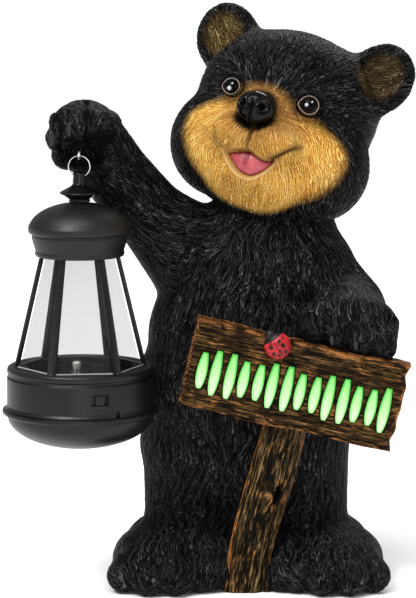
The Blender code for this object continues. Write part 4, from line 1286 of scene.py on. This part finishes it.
def strokes(glow):
    """Domed strokes in the board's pockets, with a painted glow."""
    for k, (middle, tall) in enumerate(stroke_places()):
        bm = bmesh.new()
        outline = stroke_outline(middle, tall)
        front, back = -BOARD[1] / 2 - 0.35, -BOARD[1] / 2 + STROKE_DEPTH * 1.3
        face = bm.faces.new([bm.verts.new((x, back, z)) for x, z in outline])
        moved = bmesh.ops.extrude_face_region(bm, geom=[face])["geom"]
        far = [item for item in moved if isinstance(item, bmesh.types.BMVert)]
        bmesh.ops.translate(bm, verts=far, vec=(0, front - back, 0))
        top = [item for item in moved if isinstance(item, bmesh.types.BMFace)]
        for inset, rise in ((0.35, -0.12), (0.45, -0.18), (0.5, -0.08), (0.5, 0.0)):
            bmesh.ops.inset_region(bm, faces=top, thickness=inset, depth=0.0)
            raised = list({vert for face in top for vert in face.verts})
            bmesh.ops.translate(bm, verts=raised, vec=(0, rise, 0))
        mesh = mesh_of(bm, f"stroke_{k + 1:02d}")
        local = corners(mesh)
        depth = inside_depth(local[:, [0, 2]], outline)
        fall = 0.5 - (local[:, 2] + STROKE_DROP) / STROKE_TALL
        keep(mesh, rim=eased(depth, 0, 1.6), fall=fall)
        mesh.transform(on_sign())
        finished(f"stroke_{k + 1:02d}", mesh, glow, (f"sign_stroke_{k + 1:02d}",))


def post(wood):
    """A leaning stake with a knot hole, a long split and a root at its foot."""
    centre = on_sign().translation
    top = -BOARD[2] / 2 + POST_TOP_OVERLAP
    foot = -(centre.z / MM) / math.cos(SIGN_LEAN) - POST[1]
    back = BOARD[1] / 2 + 0.3
    rings, sides = 150, 96
    knot = (POST[0] * 0.33, -BOARD[2] * 1.32)
    bm = bmesh.new()
    bmesh.ops.create_cone(bm, cap_ends=True, segments=sides, radius1=1, radius2=1, depth=2)
    upright = [edge for edge in bm.edges if abs(edge.verts[0].co.z - edge.verts[1].co.z) > 1]
    bmesh.ops.subdivide_edges(bm, edges=upright, cuts=rings - 1, use_grid_fill=False)
    mesh = mesh_of(bm, "post")
    local = corners(mesh)
    angle = np.arctan2(local[:, 1], local[:, 0])
    share = (1 - local[:, 2]) / 2
    lid = np.hypot(local[:, 0], local[:, 1]) < 0.5
    height = top + (foot - top) * share
    half_width = (POST[0] + POST_SWELL * np.sin(math.pi * share)) / 2
    sway = 1.1 * np.sin(share * 7.0)
    bark = 1 + 0.05 * np.sin(3 * angle + share * 5) + 0.03 * np.cos(5 * angle)
    x = half_width * bark * np.copysign(np.abs(np.cos(angle)) ** 0.6, np.cos(angle))
    y = POST[1] / 2 * np.copysign(np.abs(np.sin(angle)) ** 0.7, np.sin(angle))
    around = angle * 12.0
    u, w = x - knot[0], height - knot[1]
    near = np.exp(-((u / 7.0) ** 2 + (w / 14.0) ** 2)) * (y < 0)
    swerve = near * np.tanh(u / 2.5) * 2.2
    grain = grain_height(height + 200, around + swerve * 1.2 + 60, 37)
    split = np.abs(around + 19 + 2.5 * np.sin(height / 21) - swerve * 2)
    grain = grain * (1 - 0.95 * bell(split, 0.55) * eased(np.sin(height / 17 + 1), -0.5, 0.2))
    hole = np.sqrt((u / 2.9) ** 2 + (w / 7.8) ** 2)
    sunk = 0.95 * (1 - grain) + 5.5 * (1 - eased(hole, 0.55, 1.05)) * (y < 0)
    sunk = sunk - 0.5 * bell(hole - 1.35, 0.25) * (y < 0)
    outward = np.stack([np.cos(angle), np.sin(angle)], 1)
    x = x - outward[:, 0] * sunk + sway
    y = y - outward[:, 1] * sunk
    x, y = np.where(lid, sway, x), np.where(lid, 0, y)
    relief = grain * (1 - (1 - eased(hole, 0.75, 1.1)) * (y < 0))
    move_corners(mesh, np.stack([x, y + back + POST[1] / 2, height], 1))
    # Copper along the stake's edges and round the knot hole; the left edge gets more, painted light from
    # that side.
    left, right = (eased(way * np.cos(angle), 0.72, 0.98) for way in (-1, 1))
    worn = left * 0.9 + right * 0.3 + 0.5 * bell(hole - 1.4, 0.3) * (y < 0)
    keep(mesh, relief=relief, worn=worn, grain=np.stack([height, around + swerve, y], 1))
    mesh.transform(on_sign())
    bm = bmesh.new()
    bm.from_mesh(mesh)
    toe = on_sign() @ Vector((0, back + POST[1] / 2, foot + POST[1]))
    place = sized((toe.x + 0.0150, toe.y + 0.001, 0.0045), (0.0115, 0.0065, 0.0110))
    root = bmesh.ops.create_icosphere(bm, subdivisions=4, radius=1.0, matrix=place)["verts"]
    relief_layer = bm.verts.layers.float["relief"]
    grain_layer = bm.verts.layers.float_vector["grain"]
    for vert in root:
        vert.co.x += 0.0006 * math.sin(vert.co.z * 520)
        vert.co.y += 0.0008 * math.sin(vert.co.x * 800)
        vert[relief_layer] = 0.45
        vert[grain_layer] = Vector((vert.co.z, vert.co.x + 0.2, vert.co.y)) / MM
    cut_flat(bm, (0, 0, 0), (0, 0, 1))
    bm.to_mesh(mesh)
    bm.free()
    finished("post", mesh, wood, ("sign_post",), sharp=0)


def beetle():
    """A spotted beetle with a seam down its back, its head towards the upper left."""
    bm = bmesh.new()
    turn = Matrix.Rotation(math.pi / 2, 4, "X")
    size = Matrix.Diagonal((BEETLE_RADIUS, BEETLE_RISE, BEETLE_RADIUS, 1))
    bmesh.ops.create_uvsphere(bm, u_segments=64, v_segments=40, radius=1.0, matrix=size @ turn)
    head = (-BEETLE_RADIUS * 0.70, -0.4, BEETLE_RADIUS * 0.66)
    place = sized(head, (0.42, 0.42, 0.42))
    bmesh.ops.create_uvsphere(bm, u_segments=32, v_segments=20, radius=BEETLE_RADIUS, matrix=place)
    cut_flat(bm, (0, 0, 0), (0, -1, 0))
    mesh = mesh_of(bm, "beetle_shell")
    local = corners(mesh)
    facing = normals(mesh)
    x, y, z = local.T
    way = np.array((-0.727, 0.686))
    along = x * way[0] + z * way[1]
    across = -x * way[1] + z * way[0]
    seam = bell(across, 0.35) * (along < 4.6)
    collar = bell(along - 5.0, 0.5)
    spots = np.zeros(len(x))
    for a, c, radius in BEETLE_SPOTS:
        gap = np.hypot(along - a, across - c)
        spots = np.maximum(spots, 1 - eased(gap, radius * 0.8, radius * 1.1))
    front = y < -0.3
    dark = np.maximum(np.maximum(spots, seam * 0.9), eased(along, 5.0, 6.0))
    push = -0.35 * seam - 0.45 * collar
    move_corners(mesh, local + facing * (push * front)[:, None])
    keep(mesh, black=dark)
    seat = (-BOARD[0] * 0.118, -BOARD[1] / 2 - 0.3, BOARD[2] / 2 - BEETLE_RADIUS * 0.7)
    mesh.transform(on_sign() @ Matrix.Translation(seat))
    finished("beetle_shell", mesh, beetle_finish(), ("beetle",), sharp=0)


# Lantern

def on_lantern(turn=0.0):
    """The lantern's axis, turned about it from the front."""
    return Matrix.Translation(LANTERN_AXIS) @ Matrix.Rotation(turn, 4, "Z")


def in_lantern(turn=0.0):
    return on_lantern(turn) @ Matrix.Scale(MM, 4)


def level(node, high=True):
    """A node's top or foot, in millimetres above the ground."""
    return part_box(node)[1 if high else 0].z / MM


def middle_of(node):
    low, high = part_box(node)
    return (low + high) / 2


def finial():
    """The knob, saucer and neck, with the ring's hole through the knob."""
    top = level("lantern_finial")
    profile = [
        (0, top), (3.4, top), (4.3, top - 0.9), (4.3, top - 8.2), (5.9, top - 9.6), (12.1, top - 12.9),
        (13.0, top - 13.6), (12.6, top - 14.6), (11.0, top - 15.2), (6.6, top - 17.8), (7.2, top - 19.6),
        (0, top - 19.6),
    ]
    mesh = turned("finial", rounded(profile, 0.6), on_lantern(), 72)
    bm = bmesh.new()
    ring_low = level("split_ring", high=False) + WIRE
    along_x = Matrix.Rotation(math.pi / 2, 4, "Y")
    place = in_lantern() @ Matrix.Translation((0, 0, ring_low + 0.7)) @ along_x
    rod(bm, 2.0, 18, place, 32)
    mesh = without(mesh, mesh_of(bm, "ring_hole"))
    finished("finial", mesh, black_finish("gloss_black", 0.24, 0.003), ("lantern_finial",))


def cap():
    """The dome and its skirt, a hollow shell."""
    top = level("lantern_cap")
    rim, radius = top - 18.0, 33.6
    profile = [(0, top)] + arc((0, rim), (radius - 0.2, 18.0), 84, 12, 20)
    profile += [
        (radius - 0.25, rim + 2.6), (radius, rim + 1.2), (radius, rim - 0.9), (radius - 0.7, rim - 2.0),
        (31.0, rim - 2.6), (31.4, rim - 4.0), (30.6, rim - 8.0), (29.3, rim - 12.0), (28.9, rim - 13.6),
        (29.3, rim - 14.8), (29.0, rim - 16.4), (28.4, rim - 17.0), (26.4, rim - 17.0), (26.4, rim - 5.0),
    ]
    profile += arc((0, rim), (radius - 3.2, 16.0), 10, 84, 12) + [(0, top - 2.0)]
    mesh = turned("cap", rounded(profile, 0.7, 3), on_lantern())
    finished("cap", mesh, black_finish("cap_black", 0.44, 0.006), ("lantern_cap",))


def drum(black):
    """The drum's shell, with a six-sided well, the switch's window and a notch in its skirt."""
    top = level("lantern_drum")
    bottom, brim = top - 24.5, top + BRIM_RISE
    profile = [
        (0, brim), (47.0, brim), (47.8, brim - 0.7), (48.2, brim - 1.8), (48.2, brim - 3.9),
        (47.2, brim - 4.7), (47.0, brim - 5.6), (47.4, brim - 6.3), (48.3, brim - 6.8),
        (48.4, bottom + 2.2), (49.2, bottom + 0.8), (49.6, bottom), (46.4, bottom), (46.4, brim - 3.2),
        (43.2, brim - 3.2), (43.2, top - 12), (0, top - 12),
    ]
    mesh = turned("drum", rounded(profile, 0.5, 3), on_lantern(), 144)
    well = bmesh.new()
    rod(well, WELL_RADIUS, 18, in_lantern(LANTERN_TWIST) @ Matrix.Translation((0, 0, top)), SIDES)
    window = bmesh.new()
    place = sized((0, -47.4, top - SWITCH_DROP), SWITCH_WINDOW)
    box_at(window, in_lantern(SWITCH_BEARING) @ place)
    inward = [e for e in window.edges if abs(e.calc_length() - SWITCH_WINDOW[1] * MM) < 1e-4]
    softened(window, inward, 0.9 * MM, 4)
    notch = bmesh.new()
    box_at(notch, in_lantern(NOTCH_BEARING) @ sized((0, -49.0, bottom + 2.0), (3.4, 4.2, 4.4)))
    for name, cutter in (("well", well), ("window", window), ("notch", notch)):
        mesh = without(mesh, mesh_of(cutter, name))
    off = corners(mesh) - np.array(LANTERN_AXIS)
    within = np.hypot(off[:, 0], off[:, 1]) < (WELL_RADIUS + 0.5) * MM
    keep(mesh, inside=within * (off[:, 2] > (top - 9.5) * MM))
    finished("drum", mesh, black, ("lantern_drum",))


def bowl(black):
    """The bowl under the drum, a hollow shell with a flange."""
    top = level("lantern_bowl")
    under = top - 4.2
    profile = [
        (46.2, top), (50.4, top), (51.2, top - 0.5), (51.5, top - 1.3), (51.4, top - 2.6),
        (50.4, top - 3.3), (48.6, top - 3.7),
    ]
    profile += arc((0, under), (48.2, 22.0), 0, -88, 28) + [(0, top - 26.2)]
    profile += [(0, top - 24.2)] + arc((0, under), (46.2, 20.0), -88, 0, 20)
    finished("bowl", turned("bowl", profile, on_lantern(), 144), black, ("lantern_bowl",))


def glazing(black, clear):
    """Bars with a raised bead, and the panes between them."""
    bar_head = CAP_JOINT - (BAR_FOOT - CAP_JOINT) / BAR_RUN * 4.0
    for k in range(1, SIDES + 1):
        top, foot = level(f"lantern_bar_{k}"), level(f"lantern_bar_{k}", high=False)
        bm = bmesh.new()
        bmesh.ops.create_cube(bm, size=1.0)
        outer = max(bm.faces, key=lambda face: face.calc_center_median().x)
        for vert in bm.verts:
            radius, width, height = (bar_head, 3.6, top) if vert.co.z > 0 else (BAR_FOOT, 6.0, foot)
            if vert.co.x < 0:
                radius, width = radius - 3.0, width * 0.8
            vert.co = (radius, math.copysign(width / 2, vert.co.y), height)
        bmesh.ops.inset_region(bm, faces=[outer], thickness=0.75, depth=0.0)
        bmesh.ops.inset_region(bm, faces=[outer], thickness=0.25, depth=-0.35)
        rims = [edge for edge in bm.edges if edge.is_manifold and edge.calc_face_angle() > 0.6]
        softened(bm, rims, 0.22, 2)
        mesh = mesh_of(bm, f"bar_{k}", in_lantern(math.tau * (k - 1) / SIDES + LANTERN_TWIST))
        finished(f"bar_{k}", mesh, black, (f"lantern_bar_{k}",), sharp=50)
        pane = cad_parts[f"lantern_pane_{k}"].data
        pane.materials.clear()
        pane.materials.append(clear)


def pane_seal(clear):
    """The bright line where the panes stand on the drum."""
    top = level("lantern_drum") + BRIM_RISE
    profile = [(42.9, top), (42.9, top + 0.6), (42.2, top + 0.6), (42.2, top)]
    mesh = turned("pane_seal", profile, on_lantern(LANTERN_TWIST), SIDES)
    finished("pane_seal", mesh, clear)


def well_shade_sheet():
    """A dull black sheet in the drum's six-sided well, painted shade that darkens it."""
    top = level("lantern_drum")
    shells = []
    for radius, depth, middle in ((WELL_RADIUS - 0.1, 11.0, -3.4), (WELL_RADIUS - 0.8, 12.0, -2.7)):
        bm = bmesh.new()
        place = in_lantern(LANTERN_TWIST) @ Matrix.Translation((0, 0, top + middle))
        rod(bm, radius, depth, place, SIDES)
        shells.append(mesh_of(bm, "well_shade_sheet"))
    dull = black_finish("well_shade_black", 0.7, 0.002, ior=1.0)
    finished("well_shade_sheet", without(*shells), dull)


def light_unit():
    """A small clear lamp with a bright cup on two wires, and the blocks behind it."""
    middle = middle_of("lamp")
    foot, top = level("lamp", high=False), level("lamp") + 5.6
    place = Matrix.Translation((middle.x, middle.y, 0))
    profile = [(0, top)] + arc((0, top - 3.2), (3.1, 3.2), 84, 0, 8)
    profile += [(3.1, top - 7.4), (3.6, top - 7.6), (3.6, top - 8.6), (0, top - 8.6)]
    lens = turned("lamp_lens", profile, place, 48)
    finished("lamp_lens", lens, clear_finish("lamp_lens", 0.12, 0.6), ("lamp",))
    profile = [
        (0, top - 3.6), (1.0, top - 3.2), (2.4, top - 1.6), (2.9, top - 2.2), (2.2, top - 6.2),
        (0, top - 7.0),
    ]
    bm = bmesh.new()
    bm.from_mesh(turned("lamp_cup", profile, place, 12))
    cup_foot = top - 6.0
    for side in (-1, 1):
        wire = Matrix.Translation((side * 1.2, 0, (foot + cup_foot) / 2))
        rod(bm, 0.45, cup_foot - foot, place @ Matrix.Scale(MM, 4) @ wire, 12)
    finished("lamp_cup", mesh_of(bm, "lamp_cup"), cup_finish(), sharp=12)
    low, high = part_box("lamp_carrier")
    for name, start, end, rise, finish in (
        ("lamp_carrier", -15.0, 5.2, 2.0, black_finish("carrier_black", 0.5, 0.001, ior=1.0)),
        ("lamp_socket", 5.7, 15.0, 1.6, black_finish("socket_grey", 0.4, 0.016, ior=1.1)),
    ):
        bm = bmesh.new()
        size = ((end - start) * MM, high.y - low.y, high.z - low.z + rise * MM)
        across = LANTERN_AXIS.x + (start + end) / 2 * MM
        box_at(bm, sized((across, (low.y + high.y) / 2, low.z + size[2] / 2), size))
        softened(bm, bm.edges[:], 0.5 * MM, 3)
        finished(name, mesh_of(bm, name), finish, ("lamp_carrier",))


def hanging(steel):
    """A split ring of two coils, and the screw eye that it hangs from."""
    bm = bmesh.new()
    for aside in (-0.38, 0.38):
        wire_circle(bm, WIRE * 0.52, Matrix.Translation((RING_LOOP, aside, 0)), (0, 1, 0), 16, 72)
    place = Matrix.Translation(middle_of("split_ring")) @ Matrix.Scale(MM, 4)
    finished("ring", mesh_of(bm, "ring", place), steel, ("split_ring",))
    bm = bmesh.new()
    wire_circle(bm, WIRE, Matrix.Translation((EYE_LOOP, 0, 0)), (0, 1, 0), 16, 72)
    middle = middle_of("screw_eye")
    middle.z = (level("screw_eye", high=False) + EYE_LOOP + WIRE) * MM
    quarter = Matrix.Rotation(math.pi / 2, 4, "Z")
    shank = Matrix.Translation((0, 0, 7.0))
    bmesh.ops.create_cone(
        bm, cap_ends=True, segments=24, radius1=1.1, radius2=0.8, depth=8.0, matrix=shank,
    )
    place = Matrix.Translation(middle) @ quarter @ Matrix.Scale(MM, 4)
    finished("hook_eye", mesh_of(bm, "hook_eye", place), steel, ("screw_eye",))


def slider(black):
    """The switch's ribbed nub on its plate."""
    height = level("lantern_drum") - SWITCH_DROP
    bm = bmesh.new()
    box_at(bm, sized((0, -47.45, height), (5.2, 2.2, 6.0)))
    for aside in (-1.5, 0, 1.5):
        box_at(bm, sized((aside, -48.6, height), (0.6, 0.4, 5.4)))
    box_at(bm, sized((0, -45.2, height), (17.6, 1.2, 9.6)))
    softened(bm, bm.edges[:], 0.18, 2)
    mesh = mesh_of(bm, "slider", in_lantern(SWITCH_BEARING))
    finished("slider", mesh, black, ("switch_slider",), body="switch")


# Stage

def stage():
    """A pale floor, soft studio lights and the camera."""
    bm = bmesh.new()
    bmesh.ops.create_circle(bm, cap_ends=True, segments=96, radius=40.0)
    mesh = mesh_of(bm, "floor")
    mesh.materials.append(floor_finish())
    floor = bpy.data.objects.new("floor", mesh)
    floor.location.z = -0.0002
    bpy.context.scene.collection.objects.link(floor)

    world = bpy.data.worlds.new("studio")
    world.use_nodes = True
    sky = world.node_tree.nodes["Background"].inputs
    sky["Color"].default_value = (1.0, 1.0, 1.0, 1.0)
    sky["Strength"].default_value = 0.34
    bpy.context.scene.world = world
    sun = bpy.data.lights.new("sky_light", "SUN")
    sun.energy = 3.05
    sun.angle = math.radians(50)
    lamp(sun, (-0.25, -0.52, 1.05))
    for name, place, size, energy in (
        ("key_left", (-0.95, -1.4, 1.60), 0.45, 25.0),
        ("fill_right", (1.5, -1.0, 0.9), 0.8, 4.5),
        ("front_low", (0.1, -2.2, 0.15), 0.8, 5.5),
        ("rim_back", (0.5, 1.4, 1.2), 0.8, 14.0),
    ):
        light = bpy.data.lights.new(name, "AREA")
        light.energy = energy
        light.size = size
        lamp(light, place)

    camera = bpy.data.objects.new("camera", bpy.data.cameras.new("camera"))
    camera.data.sensor_width = 36
    camera.data.lens = 161.87
    camera.location = ORIGIN + Vector((0, -1.80, 0.441))
    camera.rotation_euler = (math.radians(82), 0, 0)
    bpy.context.scene.collection.objects.link(camera)
    bpy.context.scene.camera = camera
    bpy.context.scene.view_settings.view_transform = "Standard"


def lamp(light, place):
    """A light at a place, aimed at the bear's middle."""
    obj = bpy.data.objects.new(light.name, light)
    aim = at(20, 0, 200)
    obj.location = aim + Vector(place)
    obj.rotation_euler = (-Vector(place)).to_track_quat("-Z", "Y").to_euler()
    bpy.context.scene.collection.objects.link(obj)


fur = fur_finish()
plank_wood = wood_finish("plank_wood", [
    (0.12, (0.0016, 0.0010, 0.0005)), (0.36, (0.010, 0.0050, 0.0014)), (0.58, (0.034, 0.0175, 0.0050)),
    (0.80, (0.088, 0.046, 0.014)), (0.98, (0.210, 0.120, 0.042)),
], (0.270, 0.105, 0.031), 1.49)
post_wood = wood_finish("post_wood", [
    (0.12, (0.0008, 0.0006, 0.0003)), (0.36, (0.007, 0.0042, 0.0014)), (0.58, (0.036, 0.0220, 0.0075)),
    (0.80, (0.104, 0.068, 0.026)), (0.98, (0.235, 0.165, 0.078)),
], (0.340, 0.120, 0.028), 1.50)
glow = glow_finish()
satin_black = black_finish("satin_black", 0.38, 0.0035)
clear = clear_finish("clear_pane", 0.17, 0.03, 1.25)
steel = steel_finish()

bear_head(fur)
bear_body(fur)
eyes()
nose()
tongue()
board(plank_wood)
strokes(glow)
post(post_wood)
beetle()
finial()
cap()
drum(satin_black)
bowl(satin_black)
glazing(satin_black, clear)
pane_seal(clear_finish("pane_edge", 0.75, 0.55))
hanging(steel)
slider(black_finish("switch_black", 0.45, 0.006))
well_shade_sheet()
light_unit()
stage()
